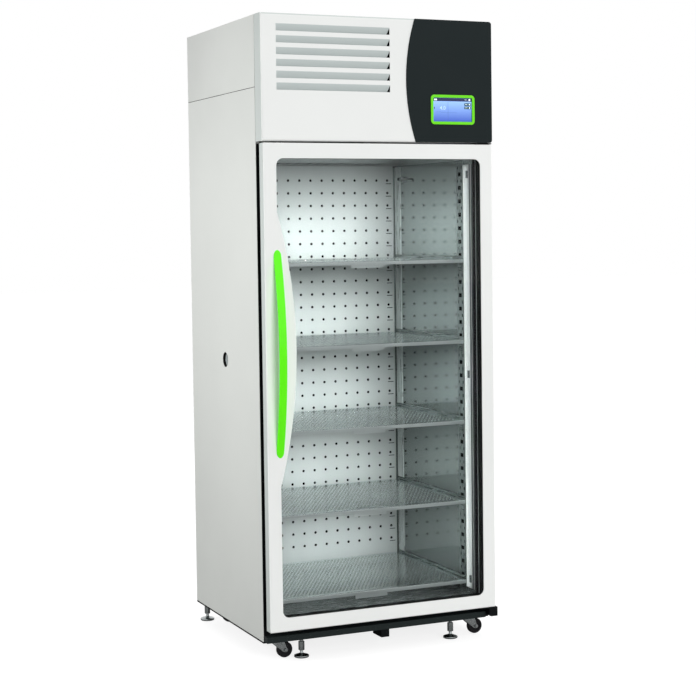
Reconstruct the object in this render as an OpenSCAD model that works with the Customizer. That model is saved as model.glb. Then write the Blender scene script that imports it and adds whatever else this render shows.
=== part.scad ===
// Upright refrigerated laboratory incubator with a glass door, five perforated
// shelves and a machine compartment above the insulated chamber.
// Millimetres, +Z up, front towards -Y, floor at z = 0, origin under the middle.

/* [Cabinet] */
// Width over the side panels
cabinet_w = 787; // [720:1:860]
// Depth from the front frame to the back panel
cabinet_d = 637; // [580:1:700]
// Height from the underside of the base to the top cover
cabinet_h = 1920; // [1860:1:2000]
// Height of the cabinet's underside above the floor
floor_gap = 65; // [63:1:70]
// Thickness of the outer sheet steel
sheet = 1.2; // [0.8:0.1:2]
// Height of the front header that hides the machine compartment
header_h = 384; // [370:1:420]
// Depth of the header in front of the cabinet
header_d = 54; // [50:1:70]
// Height of the machine cover's side above the seam
cover_h = 219; // [180:1:260]

/* [Insulated chamber] */
// Thickness of each side wall, liner included
side_wall = 42; // [38:1:60]
// Thickness of the back wall, without the air duct
back_wall = 35; // [30:1:50]
// Height of the chamber floor above the cabinet's underside
floor_wall = 70; // [60:1:90]
// Thickness of the insulated ceiling
ceiling_wall = 44; // [36:1:60]
// Thickness of the stainless liner
liner = 1; // [0.8:0.1:1.5]
// Depth of the air duct behind the perforated panel
duct_d = 22; // [16:1:30]
// Gap between two foam slabs
slab_gap = 0.3; // [0.2:0.1:1]
// Thickness of the black front frame
frame_t = 3; // [2:0.5:6]

/* [Perforated duct panel] */
// Distance between two hole rows, which is also the pilaster pitch
row_pitch = 43.95; // [40:0.05:50]
// Distance between two hole columns
col_pitch = 42; // [38:0.5:50]
// Diameter of an air hole
air_hole_d = 7; // [4:0.5:10]
// Number of hole rows
hole_rows = 30; // [10:1:31]
// Number of hole columns
hole_cols = 16; // [8:1:16]
// Gap between the panel's edges and the chamber's side walls
duct_side_gap = 8; // [6:1:20]

/* [Shelves] */
// Number of hole rows between two shelves
shelf_rows = 6; // [5:1:6]
// Height of the lowest shelf above the chamber floor
shelf_first = 40; // [30:1:60]
// Depth of the space in front of the shelves
shelf_front = 55; // [50:1:70]
// Thickness of the shelf sheet
shelf_t = 1.5; // [1:0.1:2.5]
// Height of the shelf's turned-down edges
shelf_lip = 12; // [8:1:20]
// Distance between two holes of a shelf row
shelf_pitch = 30; // [24:1:40]
// Diameter of a shelf hole
shelf_hole_d = 9; // [5:0.5:14]
// Plain border around the shelf's holes
shelf_border = 22; // [18:1:40]
// Width of the tab in the middle of the front edge
tab_w = 112; // [60:1:160]
// Height of that tab below the shelf's edge
tab_h = 10; // [6:1:16]
// Width of a pilaster strip
pilaster_w = 42; // [34:1:50]
// Depth of a pilaster strip
pilaster_t = 3; // [2:0.5:3.5]
// Distance from the chamber's mouth to the front pilasters
pilaster_y = 66; // [65:1:80]

/* [Door] */
// Gap under the header, above the door
door_gap = 5; // [5:0.5:12]
// Distance between the front frame and the door
gasket_t = 20; // [16:1:26]
// Thickness of the door
door_t = 32.7; // [30:0.1:40]
// Height of the door's lower edge above the cabinet's underside
door_rise = 37; // [34:1:45]
// Width of the door's frame around the window
stile_w = 43; // [40:1:60]
// Width of the door's frame above the window
top_rail_w = 47; // [42:1:60]
// Thickness of the door's painted skin
skin_t = 2.2; // [1.5:0.1:3]
// Corner radius of the window
window_r = 22; // [10:1:40]
// Width of the swelling of the frame behind the handle
swell_w = 57; // [30:1:70]
// Height of that swelling
swell_h = 837; // [700:1:900]
// Height of the swelling's middle above the cabinet's underside
swell_z = 903; // [850:1:950]
// Thickness of one glass pane
glass_t = 4; // [3:0.5:6]
// Thickness of the spacer between the panes
spacer_t = 16; // [12:1:18]
// Width of the spacer
spacer_w = 16; // [10:1:18]
// Width of the gasket
gasket_w = 20; // [14:1:22]
// Distance from the door's hinged edge to its axis
axis_inset = 14; // [12:1:16]
// Radius of a hinge pin
pin_r = 5; // [4:0.5:6]
// Running clearance around a hinge pin, axle or kingpin
pin_play = 0.08; // [0.05:0.01:0.1]

/* [Handle] */
// Length of the bow handle
handle_l = 634; // [500:1:700]
// Height of the handle's middle above the cabinet's underside
handle_z = 890; // [850:1:930]
// How far the bow's middle line stands off the door
handle_bow = 36; // [32:1:50]
// Width of the handle
handle_w = 25; // [18:1:32]
// Thickness of the handle
handle_t = 11; // [8:1:16]
// Distance from the cabinet's side to the handle's middle
handle_x = 45; // [40:1:50]

/* [Header] */
// Number of louvres
louvres = 6; // [3:1:6]
// Distance between two louvres
louvre_pitch = 35.4; // [32:0.2:40]
// Height of a louvre's slot
louvre_h = 21.7; // [16:0.1:24]
// Length of a louvre's slot
louvre_l = 379; // [300:1:400]
// Depth of a louvre's blade at its lower edge
louvre_d = 13; // [8:1:18]
// Distance from the cabinet's side to the louvres
louvre_x = 50; // [40:1:60]
// Distance from the top to the first louvre
louvre_top = 31.5; // [25:0.5:40]
// Thickness of the header's sheet
header_t = 2; // [1.5:0.1:3]
// Width of the dark fascia along its upper edge
fascia_w = 272; // [250:1:300]
// Radius of the header's two round corners
header_r = 9; // [4:0.5:16]
// Depth of the fascia's curved side
fascia_bulge = 31; // [20:1:40]
// Thickness of the fascia
fascia_t = 2; // [1.5:0.1:3]
// Width of the screen's bezel
bezel_w = 155; // [140:1:170]
// Height of the screen's bezel
bezel_h = 93; // [80:1:100]
// Width of the bezel's rim
bezel_rim = 9; // [6:0.5:12]
// Distance from the cabinet's side to the bezel
bezel_x = 64; // [50:1:80]
// Height of the bezel's lower edge above the header's lower edge
bezel_z = 56.5; // [40:0.5:80]

/* [Fittings] */
// Radius of the access port's bore
port_r = 22; // [15:1:24]
// Distance from the front frame to the port's middle
port_y = 305; // [250:1:350]
// Height of the port above the cabinet's underside
port_z = 852; // [800:1:900]
// Depth of the stopper's face inside the port
stopper_depth = 8; // [4:1:12]
// Play around the stopper
stopper_play = 0.08; // [0.05:0.01:0.2]
// Gap above and below the lamp's channel
lamp_gap = 15.75; // [10:0.25:100]
// Width of the lamp's channel
lamp_w = 54; // [40:1:54]
// Length of the temperature probe
probe_l = 72; // [50:1:90]

/* [Base] */
// Height of the base frame's rails
rail_h = 30; // [26:1:34]
// Height of the dark skirt under the panels
skirt_h = 5; // [3:0.5:6]
// Height of the kick strip above the cabinet's underside
kick_h = 19; // [16:1:24]
// Width of the base frame's rails
rail_w = 60; // [56:1:70]
// Wall thickness of the rails
rail_t = 3; // [2:0.5:4]
// Depth of the kick strip in front of the frame
kick_d = 28; // [20:1:36]
// How far the lower hinge block reaches beside the cabinet
hinge_reach = 8; // [4:1:10]
// Distance from the side to the front feet
front_foot_x = 132; // [128:1:150]
// Distance from the front to the front feet
front_foot_y = 15; // [14:1:24]
// Distance from the side and from the back to the rear feet
rear_foot_in = 26; // [25:1:30]
// Radius of a foot's disc
foot_r = 23.5; // [18:0.5:24]
// Radius of a foot's threaded stud
stud_r = 6; // [5:0.5:7]
// Distance from the side to a front caster's axis
caster_x = 58; // [56:1:62]
// Distance from the front to a front caster's axis
caster_y = 30; // [30:1:36]
// Distance from a rear caster's axis to the back
rear_caster_y = 97; // [96:1:110]
// Radius of a caster's wheel
wheel_r = 25; // [22:0.5:25]
// Width of a caster's wheel
wheel_w = 18; // [14:1:20]
// Trail of a caster's wheel behind its kingpin
trail = 22; // [16:1:23]
// Thickness of a caster's plate
plate_t = 3; // [2:0.5:3]
// Height of the block under the middle of the front rail
block_h = 25; // [15:1:30]
// Width of that block
block_w = 28; // [20:1:40]

/* [Machine compartment] */
// Diameter of the compressor's shell
compressor_d = 150; // [120:1:170]
// Height of the compressor
compressor_h = 190; // [150:1:210]
// Diameter of the condenser fan
fan_d = 230; // [200:2:250]
// Width of the condenser
condenser_w = 300; // [280:1:330]
// Height of the condenser
condenser_h = 270; // [260:1:290]
// Depth of the condenser
condenser_d = 44; // [36:1:60]
// Number of the condenser's fins
condenser_fins = 36; // [12:1:48]
// Diameter of the circulation blower's wheel
blower_d = 150; // [120:1:160]
// Height of the insulated air box over the chamber
air_box_h = 150; // [130:1:180]
// Wall thickness of the air box
air_box_t = 12; // [8:1:16]

/* [Hidden] */
$fn = 48;

eps = 0.01;                     // overlap that makes cuts clean
big_fn = 360;                   // segments of the very large arcs
inlet_flange = 2;               // thickness of the power inlet's flange

// The four upright planes of the cabinet, placed so that the whole machine is centred
reach = gasket_t + door_t + handle_bow + handle_t / 2;
xl = -(cabinet_w + hinge_reach) / 2;
xr = xl + cabinet_w;
yf = (reach - cabinet_d - inlet_flange) / 2;
yb = yf + cabinet_d;
// Heights
z_base = floor_gap;
z_top = z_base + cabinet_h;
z_rail = z_base + rail_h;
z_floor = z_base + floor_wall;
z_header = z_top - header_h;
deck_t = 1.5;                   // sheet under the machine compartment
z_deck = z_header - 5;
z_ceiling = z_deck - deck_t - ceiling_wall + liner;
z_seam = z_top - cover_h;
// Inside faces of the chamber
cxl = xl + side_wall;
cxr = xr - side_wall;
cyb = yb - back_wall;
y_duct = cyb - duct_d;
chamber_w = cxr - cxl;
// Door planes
y_door_back = yf - gasket_t;
y_door = y_door_back - door_t;
door_x0 = xl + 3;
door_x1 = xr;
door_z0 = z_base + door_rise;
door_z1 = z_header - door_gap;
win_x0 = door_x0 + stile_w;
win_x1 = door_x1 - stile_w;
win_z0 = door_z0 + stile_w;
win_z1 = door_z1 - top_rail_w;
y_glass = y_door + skin_t;
glass_pack = 2 * glass_t + spacer_t;
pack_x0 = win_x0 - spacer_w;
pack_x1 = win_x1 + spacer_w;
pack_z0 = win_z0 - spacer_w;
pack_z1 = win_z1 + spacer_w;
// Hinge axis
axis_x = door_x1 - axis_inset;
axis_y = y_door_back - door_t / 2 + 0.35;
bracket_t = 3.5;                // thickness of a hinge bracket
bracket_gap = 1;                // clearance between the door and a hinge bracket
bracket_l = 38;                 // how far a hinge bracket reaches inwards from the axis
bracket_y = 2;                  // how far a bracket lies behind the door's front
pin_l = 16;                     // length of a hinge pin inside the door
handle_pin_r = 3;               // radius of the studs that hold the handle
handle_pin_end = 30;            // distance from the handle's tips to its studs
handle_pin_in = 6;              // how far a stud reaches into the handle
hinge_block_w = 22;             // width of the block that carries the lower hinge
axle_r = 3;                     // radius of a caster wheel's axle
wheel_lift = 2;                 // height of the wheels above the floor, as the feet carry the load
kick_t = 2;                     // sheet of the kick strip
kick_inset = 2;                 // distance from the kick strip to its neighbours
skirt_t = 1.5;                  // sheet of the skirt
block_t = 4;                    // wall of the block under the front rail
block_back = 40;                // how far that block reaches behind the front
// Shelves
shelf_x0 = cxl + duct_side_gap;
shelf_x1 = cxr - duct_side_gap;
shelf_y0 = yf + shelf_front;
shelf_y1 = y_duct - 5;
rail_sheet = 1.5;               // sheet of a shelf rail
rail_foot = 13;                 // width of the foot that carries the shelf
rail_up = 10;                   // height of a rail above its shelf
rail_lead = 6;                  // how far a rail runs past the front pilaster
strip_t = 1.2;                  // sheet of a pilaster
strip_back = 4;                 // distance from the duct panel to the rear pilasters
strip_gap = 0.3;                // clearance beside the duct panel's folded edges
ceiling_play = 4;               // gap between the pilasters and the ceiling
front_strip_y = yf + pilaster_y;
rear_strip_y = y_duct - pilaster_w - strip_back;
slot_w = 21;                    // width of a pilaster slot
slot_h = 13;                    // height of a pilaster slot
hook_drop = 31.6;               // depth of the hook slots below a shelf's top
hook_play = 1.5;                // play of a hook in its slot
// Kinds of place: left or right side, front or rear
LEFT = -1;
RIGHT = 1;

function shelf_z(i) = z_floor + shelf_first + (i - 1) * shelf_rows * row_pitch;
function side_x(side, inset) = side == LEFT ? xl + inset : xr - inset;
function foot_spot(side, front) = front
    ? [side_x(side, front_foot_x), yf + front_foot_y]
    : [side_x(side, rear_foot_in), yb - rear_foot_in - 4];
function caster_spot(side, front) = front
    ? [side_x(side, caster_x), yf + caster_y]
    : [side_x(side, caster_x + 2), yb - rear_caster_y];
// Radius of an arc from its chord and its rise
function arc_r(chord, rise) = (chord * chord / 4 + rise * rise) / (2 * rise);

CORNERS = [[LEFT, true], [RIGHT, true], [LEFT, false], [RIGHT, false]];

// ---------- helpers ----------

// Box from its low corner to its high corner
module box(a, b) {
    translate(a) cube([b[0] - a[0], b[1] - a[1], b[2] - a[2]]);
}

// Rectangle from its low corner to its high corner, with true round corners
module round_rect(a, b, r) {
    translate([a[0] + r, a[1]]) square([b[0] - a[0] - 2 * r, b[1] - a[1]]);
    translate([a[0], a[1] + r]) square([b[0] - a[0], b[1] - a[1] - 2 * r]);
    for (x = [a[0] + r, b[0] - r], z = [a[1] + r, b[1] - r]) translate([x, z]) circle(r);
}

// Plate that stands upright: a flat outline in X and Z, from y0 towards +Y
module upright(y0, t) {
    translate([0, y0 + t, 0]) rotate([90, 0, 0]) linear_extrude(t) children();
}

// Outline in Y and Z, from x0 towards +X
module sideways(x0, t) {
    translate([x0, 0, 0]) rotate([90, 0, 90]) linear_extrude(t) children();
}

// Upright rectangular ring
module ring(y0, t, a, b, bar) {
    upright(y0, t) difference() {
        translate(a) square([b[0] - a[0], b[1] - a[1]]);
        translate([a[0] + bar, a[1] + bar])
            square([b[0] - a[0] - 2 * bar, b[1] - a[1] - 2 * bar]);
    }
}

// Rod between two heights
module rod(x, y, z0, z1, r) {
    translate([x, y, z0]) cylinder(h = z1 - z0, r = r);
}

// ---------- base ----------

// Rail that is open underneath
module open_rail(a, b) {
    difference() {
        box([a[0], a[1], z_base], [b[0], b[1], z_rail]);
        box([a[0] + rail_t, a[1] + rail_t, z_base - 1], [b[0] - rail_t, b[1] - rail_t, z_rail - rail_t]);
    }
}

// Thin ring under the side panels, the front and the back
module skirt() {
    difference() {
        box([xl, yf, z_base - skirt_h], [xr, yb, z_base]);
        box([xl + skirt_t, yf + skirt_t, z_base - skirt_h - 1], [xr - skirt_t, yb - skirt_t, z_base + 1]);
    }
}

module base_frame() {
    x0 = xl + sheet;
    x1 = xr - sheet;
    y0 = yf;
    y1 = yb - sheet;
    mid = (xl + xr) / 2 - block_t;
    boss_r = stud_r * 2.2;
    pad = rail_w - 2;
    color("#15181a") skirt();
    color("#15181a") difference() {
        union() {
            open_rail([x0, y0], [x1, y0 + rail_w]);
            open_rail([x0, y1 - rail_w], [x1, y1]);
            open_rail([x0, y0 + rail_w - rail_t], [x0 + rail_w, y1 - rail_w + rail_t]);
            open_rail([x1 - rail_w, y0 + rail_w - rail_t], [x1, y1 - rail_w + rail_t]);
            for (c = CORNERS) translate(foot_spot(c[0], c[1])) rod(0, 0, z_base, z_rail, boss_r);
            for (c = CORNERS) translate(caster_spot(c[0], c[1]))
                translate([-pad / 2, -pad / 2, z_base]) cube([pad, pad, rail_t]);
        }
        for (c = CORNERS) translate(foot_spot(c[0], c[1])) rod(0, 0, z_base - 1, z_rail + 1, stud_r + 0.3);
    }
    // Hollow block that hangs under the middle of the front rail
    color("#15181a") difference() {
        box([mid, yf - kick_d + block_t, z_base - block_h], [mid + block_w, yf + block_back, z_base]);
        box([mid + block_t, yf - kick_d + 2 * block_t, z_base - block_h - 1],
            [mid + block_w - block_t, yf + block_back - block_t, z_base - block_t]);
    }
}

// Folded black strip low in front of the base, with its top and left end closed
module kick_strip() {
    x0 = xl + kick_inset;
    x1 = xr - hinge_block_w - kick_inset;
    y0 = yf - kick_d;
    z1 = z_base + kick_h;
    color("#1b1f21") {
        box([x0, y0, z_base], [x1, y0 + kick_t, z1]);
        box([x0, y0, z1 - kick_t], [x1, yf, z1]);
        box([x0, y0, z_base], [x0 + kick_t, yf, z1]);
        box([x0, yf - kick_t, z_base], [x1, yf, z1]);
    }
}

// ---------- casters and feet ----------

module caster_plates() {
    half = 28;
    bolt_at = 21;
    bolt_r = 3.2;
    kingpin = 10;
    color("#b9bdbe") for (c = CORNERS) translate(caster_spot(c[0], c[1])) {
        difference() {
            translate([-half, -half, z_base - plate_t]) cube([2 * half, 2 * half, plate_t]);
            for (a = [-bolt_at, bolt_at], b = [-bolt_at, bolt_at])
                rod(a, b, z_base - plate_t - 1, z_base + 1, bolt_r);
        }
        rod(0, 0, z_base - plate_t - kingpin, z_base, pin_r);
    }
}

// Swivelling fork: a crown with a bore for the kingpin, and two tapering cheeks with an axle
module fork(spot) {
    crown_t = 8;
    crown_r = 19;
    crown_gap = 0.3;
    z_crown = z_base - plate_t - crown_gap - crown_t;
    cheek = 2;
    back = 26;
    front = 17;
    half = wheel_w / 2 + 1;
    z_axle = wheel_r + wheel_lift;
    boss_r = 7;
    translate(spot) color("#c4c8c9") {
        difference() {
            union() {
                rod(0, 0, z_crown, z_crown + crown_t, crown_r);
                for (s = [-1, 1]) translate([0, s * (half + cheek / 2), 0])
                    upright(-cheek / 2, cheek) {
                        polygon([[-back, z_crown + 3], [front, z_crown + 3], [trail + 5, z_axle + 2],
                                 [trail + 2, z_axle - 7], [trail - 7, z_axle - 6]]);
                        translate([trail, z_axle]) circle(boss_r);
                    }
                translate([-back, -half - cheek, z_crown]) cube([back + front, 2 * (half + cheek), 3]);
            }
            rod(0, 0, z_crown - 1, z_crown + crown_t + 1, pin_r + pin_play);
        }
        translate([trail, half + cheek + 1, z_axle]) rotate([90, 0, 0])
            cylinder(h = 2 * (half + cheek + 1), r = axle_r);
    }
}

// Wheel with a rounded tread and a recessed hub on both faces
module wheel(spot) {
    h = wheel_w / 2;
    tread = 4;
    bore = axle_r + pin_play;
    hub_r = 9;
    rim = 8;
    recess = 2;
    translate([spot[0] + trail, spot[1], wheel_r + wheel_lift]) rotate([90, 0, 0]) color("#141617")
        rotate_extrude($fn = 72) difference() {
            union() {
                translate([bore, -h]) square([wheel_r - tread + 1 - bore, 2 * h]);
                translate([wheel_r - tread, -h + tread]) square([tread, 2 * (h - tread)]);
                for (s = [-1, 1]) translate([wheel_r - tread, s * (h - tread)]) circle(tread);
            }
            for (s = [-1, 1]) translate([hub_r, s * h - recess])
                square([wheel_r - rim - hub_r, 2 * recess]);
        }
}

// Levelling foot: a disc, a neck, a hexagonal sleeve and a threaded stud
module foot(spot) {
    translate(spot) color("#cfd4d5") {
        rotate_extrude() polygon([[0, 0], [foot_r - 1.5, 0], [foot_r, 2], [foot_r, 6],
            [foot_r - 2, 8.5], [12, 10.5], [stud_r - 1, 12], [stud_r - 1, 24], [0, 24]]);
        rod(0, 0, 23, z_rail - 4, stud_r);
        translate([0, 0, 22]) cylinder(h = 28, r = stud_r * 1.65, $fn = 6);
    }
}

// ---------- outer panels ----------

module side_panel_left() {
    color("#dfe2dd") sideways(xl, sheet) difference() {
        translate([yf, z_base]) square([cabinet_d, z_seam - 0.5 - z_base]);
        translate([yf + port_y, z_base + port_z]) circle(port_hole_r + hole_play);
    }
    color("#dfe2dd") side_hems(LEFT);
}

// Turned-in hems at the front of a side panel, above and below the black frame
module side_hems(side) {
    x0 = side == LEFT ? xl : xr - 12;
    box([x0, yf, z_deck + 1], [x0 + 12, yf + sheet, z_seam - 0.5]);
}

module side_panel_right() {
    color("#dfe2dd") {
        sideways(xr - sheet, sheet) translate([yf, z_base]) square([cabinet_d, z_seam - 0.5 - z_base]);
        side_hems(RIGHT);
    }
}

// Back panel with rows of air slots over the machine compartment and a cut-out for the inlet
module back_panel() {
    slot_w = 110;
    slot_h = 8;
    slot_x = 120;
    slot_gap = 26;
    slot_z = 60;
    slot_pitch = 22;
    cut_w = 48;
    cut_h = 68;
    color("#d3d6d1") upright(yb - sheet, sheet) difference() {
        translate([xl + sheet, z_base]) square([cabinet_w - 2 * sheet, cabinet_h - sheet]);
        for (i = [0:11], k = [0:3])
            translate([xl + slot_x + k * (slot_w + slot_gap), z_deck + slot_z + i * slot_pitch])
                round_rect([0, 0], [slot_w, slot_h], slot_h / 2 - eps);
        translate([inlet_x - cut_w / 2, inlet_z - cut_h / 2]) square([cut_w, cut_h]);
    }
}

inlet_x = xr - 70;
inlet_z = z_deck + 120;

// ---------- insulated body ----------

sleeve_t = 2;                   // wall of the access port's sleeve
hole_play = 0.2;                // clearance around a sleeve or a stud in its hole
port_hole_r = port_r + sleeve_t;

module insulation() {
    g = slab_gap;
    z0 = z_rail;
    z1 = z_deck - deck_t;
    y0 = yf + frame_t;
    y1 = yb - sheet;
    color("#e9dfb8") {
        // Side slabs
        difference() {
            box([xl + sheet, y0, z0], [cxl - liner, y1, z1]);
            port_drill(xl, cxl, port_hole_r + hole_play);
        }
        box([cxr + liner, y0, z0], [xr - sheet, y1, z1]);
        // Back slab
        box([cxl - liner + g, cyb, z0], [cxr + liner - g, y1, z1]);
        // Floor and ceiling slabs; the ceiling has the return and the supply passage
        box([cxl - liner + g, y0, z0], [cxr + liner - g, cyb - g, z_floor - liner]);
        difference() {
            box([cxl - liner + g, y0, z_ceiling + liner], [cxr + liner - g, cyb - g, z1]);
            box(return_a, return_b);
            box(supply_a, supply_b);
        }
    }
}

// Passages between the chamber and the air box: return at the front, supply into the duct
box_side = 70;                  // distance from the chamber's sides to the air box
box_back = 26;                  // distance from the back panel to the air box
box_d = 280;                    // depth of the air box
return_side = 60;               // distance from the air box's sides to the return passage
return_y = 30;                  // distance from the air box's front to the return passage
return_d = 80;                  // depth of the return passage
supply_side = 20;               // distance from the air box's sides to the supply passage
supply_in = 4;                  // distance from the duct's two faces to the supply passage
cut_past = 5;                   // how far a passage is cut past the sheets
box_x0 = cxl + box_side;
box_x1 = cxr - box_side;
box_y1 = yb - box_back;
box_y0 = box_y1 - box_d;
return_a = [box_x0 + return_side, box_y0 + return_y, z_ceiling - cut_past];
return_b = [box_x1 - return_side, box_y0 + return_y + return_d, z_deck + cut_past];
supply_a = [box_x0 + supply_side, y_duct + supply_in, z_ceiling - cut_past];
supply_b = [box_x1 - supply_side, cyb - supply_in, z_deck + cut_past];

module port_drill(x0, x1, r) {
    translate([x0 - 1, yf + port_y, z_base + port_z]) rotate([0, 90, 0]) cylinder(h = x1 - x0 + 2, r = r);
}

// Black frame around the chamber's mouth, which the door's gasket meets
module front_frame() {
    color("#101213") upright(yf, frame_t) difference() {
        translate([xl + sheet, z_rail]) square([cabinet_w - 2 * sheet, z_deck - deck_t - z_rail]);
        translate([cxl, z_floor]) square([chamber_w, z_ceiling - z_floor]);
    }
}

module liner_sides() {
    color("#c3cbc8") {
        difference() {
            box([cxl - liner, yf + frame_t, z_floor], [cxl, cyb, z_ceiling]);
            port_drill(cxl - liner, cxl, port_hole_r + hole_play);
        }
        box([cxr, yf + frame_t, z_floor], [cxr + liner, cyb, z_ceiling]);
        // Strips that close the corners beside the duct panel
        for (x = [cxl - liner, cxr - duct_side_gap + strip_gap])
            box([x, y_duct + liner, z_floor],
                [x + liner + duct_side_gap - strip_gap, y_duct + 2 * liner, z_ceiling]);
    }
}

module ceiling_panel() {
    bars = 12;
    bar_in = 6;
    step = (return_b[0] - return_a[0]) / bars;
    color("#b5bdba") difference() {
        box([cxl, yf + frame_t, z_ceiling], [cxr, cyb, z_ceiling + liner]);
        for (i = [0:bars - 1]) box([return_a[0] + i * step + bar_in, return_a[1] + bar_in, z_ceiling - 1],
            [return_a[0] + (i + 1) * step - bar_in, return_b[1] - bar_in, z_ceiling + liner + 1]);
        box([supply_a[0], supply_a[1], z_ceiling - 1], [supply_b[0], supply_b[1], z_ceiling + liner + 1]);
    }
}

// Floor pan with a row of long drain slots behind the threshold
module floor_pan() {
    slots = 7;
    slot_l = 60;
    slot_d = 6;
    slot_y = 20;
    step = chamber_w / slots;
    color("#b5bdba") difference() {
        box([cxl, yf + frame_t, z_floor - liner], [cxr, cyb, z_floor]);
        for (i = [0:slots - 1])
            translate([cxl + (i + 0.5) * step - slot_l / 2, yf + slot_y, z_floor - liner - 1])
                cube([slot_l, slot_d, liner + 2]);
    }
}

// Perforated panel in front of the air duct, with folded edges and a slit beside each edge hole
module duct_panel() {
    x0 = cxl + duct_side_gap;
    x1 = cxr - duct_side_gap;
    first_x = x1 - 22;
    first_z = z_ceiling - 50;
    foot = 8;                   // gap over the floor and under the ceiling
    slit_w = 22;
    slit_h = 2.5;
    slit_drop = 12.5;
    color("#dfe5e2") {
        upright(y_duct, liner) difference() {
            translate([x0, z_floor + foot]) square([x1 - x0, z_ceiling - z_floor - 2 * foot]);
            for (i = [0:hole_cols - 1], k = [0:hole_rows - 1])
                translate([first_x - i * col_pitch, first_z - k * row_pitch])
                    circle(d = air_hole_d, $fn = 24);
            for (k = [0:hole_rows - 1])
                translate([x1 - 28, first_z - k * row_pitch - slit_drop]) square([slit_w, slit_h]);
        }
        for (x = [x0, x1 - liner]) box([x, y_duct, z_floor + foot], [x + liner, cyb, z_ceiling - foot]);
    }
}

// Channel strip: slots for the rail hooks at every pitch in front, with a pair of small
// slots between two of them, and at the rear only the slots that the rails hang in
module pilaster(side, y0, rear) {
    x0 = side == LEFT ? cxl : cxr - pilaster_t;
    z0 = z_floor + shelf_first - hook_drop;
    slots = floor((z_ceiling - z0 - slot_w) / row_pitch);
    face = side == LEFT ? x0 + pilaster_t - strip_t : x0;
    step = rear ? shelf_rows : 1;
    small_w = 6;
    small_h = 10;
    small_at = 13;
    sideways(face, strip_t) difference() {
        translate([y0, z_floor]) square([pilaster_w, z_ceiling - z_floor - ceiling_play]);
        for (k = [0:step:rear ? shelf_rows * 4 : slots])
            translate([y0 + pilaster_w / 2, z0 + k * row_pitch]) {
                translate([-slot_w / 2, -slot_h / 2]) square([slot_w, slot_h]);
                if (!rear) for (s = [-1, 1])
                    translate([s * small_at - small_w / 2, (row_pitch - small_h) / 2])
                        square([small_w, small_h]);
            }
    }
    for (y = [y0, y0 + pilaster_w - strip_t])
        box([x0, y, z_floor], [x0 + pilaster_t, y + strip_t, z_ceiling - ceiling_play]);
}

module pilasters() {
    color("#aab3b0") for (side = [LEFT, RIGHT]) {
        pilaster(side, front_strip_y, false);
        pilaster(side, rear_strip_y, true);
    }
}

// Bracket along each side of a shelf, hooked into the front and rear pilasters
module shelf_rail(side, z) {
    wall = side == LEFT ? cxl + pilaster_t : cxr - pilaster_t;
    a = side == LEFT ? wall : wall - rail_sheet;
    foot_a = side == LEFT ? wall : wall - rail_foot;
    z_foot = z - shelf_lip - rail_sheet;
    y0 = front_strip_y - rail_lead;
    y1 = y_duct - rail_lead;
    box([a, y0, z_foot], [a + rail_sheet, y1, z + rail_up]);
    box([foot_a, y0, z_foot], [foot_a + rail_foot, y1, z_foot + rail_sheet]);
    for (y = [front_strip_y, rear_strip_y]) hook(side, y + pilaster_w / 2, z, z_foot);
}

// Tab under the rail's foot with a tongue that passes through a slot of the pilaster
module hook(side, y, z, z_foot) {
    half = slot_w / 2 - hook_play;
    z0 = z - hook_drop - slot_h / 2 + hook_play;
    z1 = z - hook_drop + slot_h / 2 - hook_play;
    wall = side == LEFT ? cxl + pilaster_t : cxr - pilaster_t;
    depth = pilaster_t - 0.4;
    tongue = side == LEFT ? wall - depth : wall;
    tab = side == LEFT ? wall : wall - rail_sheet;
    box([tongue, y - half, z0], [tongue + depth, y + half, z1]);
    box([tab, y - half, z0], [tab + rail_sheet, y + half, z_foot]);
}

module shelf_rails() {
    color("#9aa4a1") for (side = [LEFT, RIGHT], i = [1:5]) shelf_rail(side, shelf_z(i));
}

// Perforated shelf with turned-down edges and a label tab under its front edge
module shelf(i) {
    z = shelf_z(i);
    w = shelf_x1 - shelf_x0;
    d = shelf_y1 - shelf_y0;
    row_d = shelf_pitch * sqrt(3) / 2;
    rows = floor((d - 2 * shelf_border) / row_d);
    cols = floor((w - 2 * shelf_border) / shelf_pitch) - 1;
    off_x = (w - (cols + 0.5) * shelf_pitch) / 2;
    off_y = (d - rows * row_d) / 2;
    color("#a9b3b0") {
        translate([0, 0, z - shelf_t]) linear_extrude(shelf_t) difference() {
            translate([shelf_x0, shelf_y0]) square([w, d]);
            for (k = [0:rows], j = [0:cols])
                translate([shelf_x0 + off_x + (j + (k % 2) / 2) * shelf_pitch, shelf_y0 + off_y + k * row_d])
                    circle(d = shelf_hole_d, $fn = 24);
        }
        ring_down(shelf_x0, shelf_y0, w, d, z);
        box([(cxl + cxr - tab_w) / 2, shelf_y0, z - shelf_lip - tab_h],
            [(cxl + cxr + tab_w) / 2, shelf_y0 + shelf_t, z - shelf_t]);
    }
}

// Turned-down edges of a shelf
module ring_down(x, y, w, d, z) {
    translate([0, 0, z - shelf_lip]) linear_extrude(shelf_lip) difference() {
        translate([x, y]) square([w, d]);
        translate([x + shelf_t, y + shelf_t]) square([w - 2 * shelf_t, d - 2 * shelf_t]);
    }
}

// ---------- chamber fittings ----------

lamp_t = 5;                     // thickness of the lamp's channel
lamp_x = cxr - lamp_t;
lamp_y = yf + frame_t + 1;
lamp_z = z_floor + lamp_gap;
lamp_l = z_ceiling - z_floor - 2 * lamp_gap;

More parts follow.
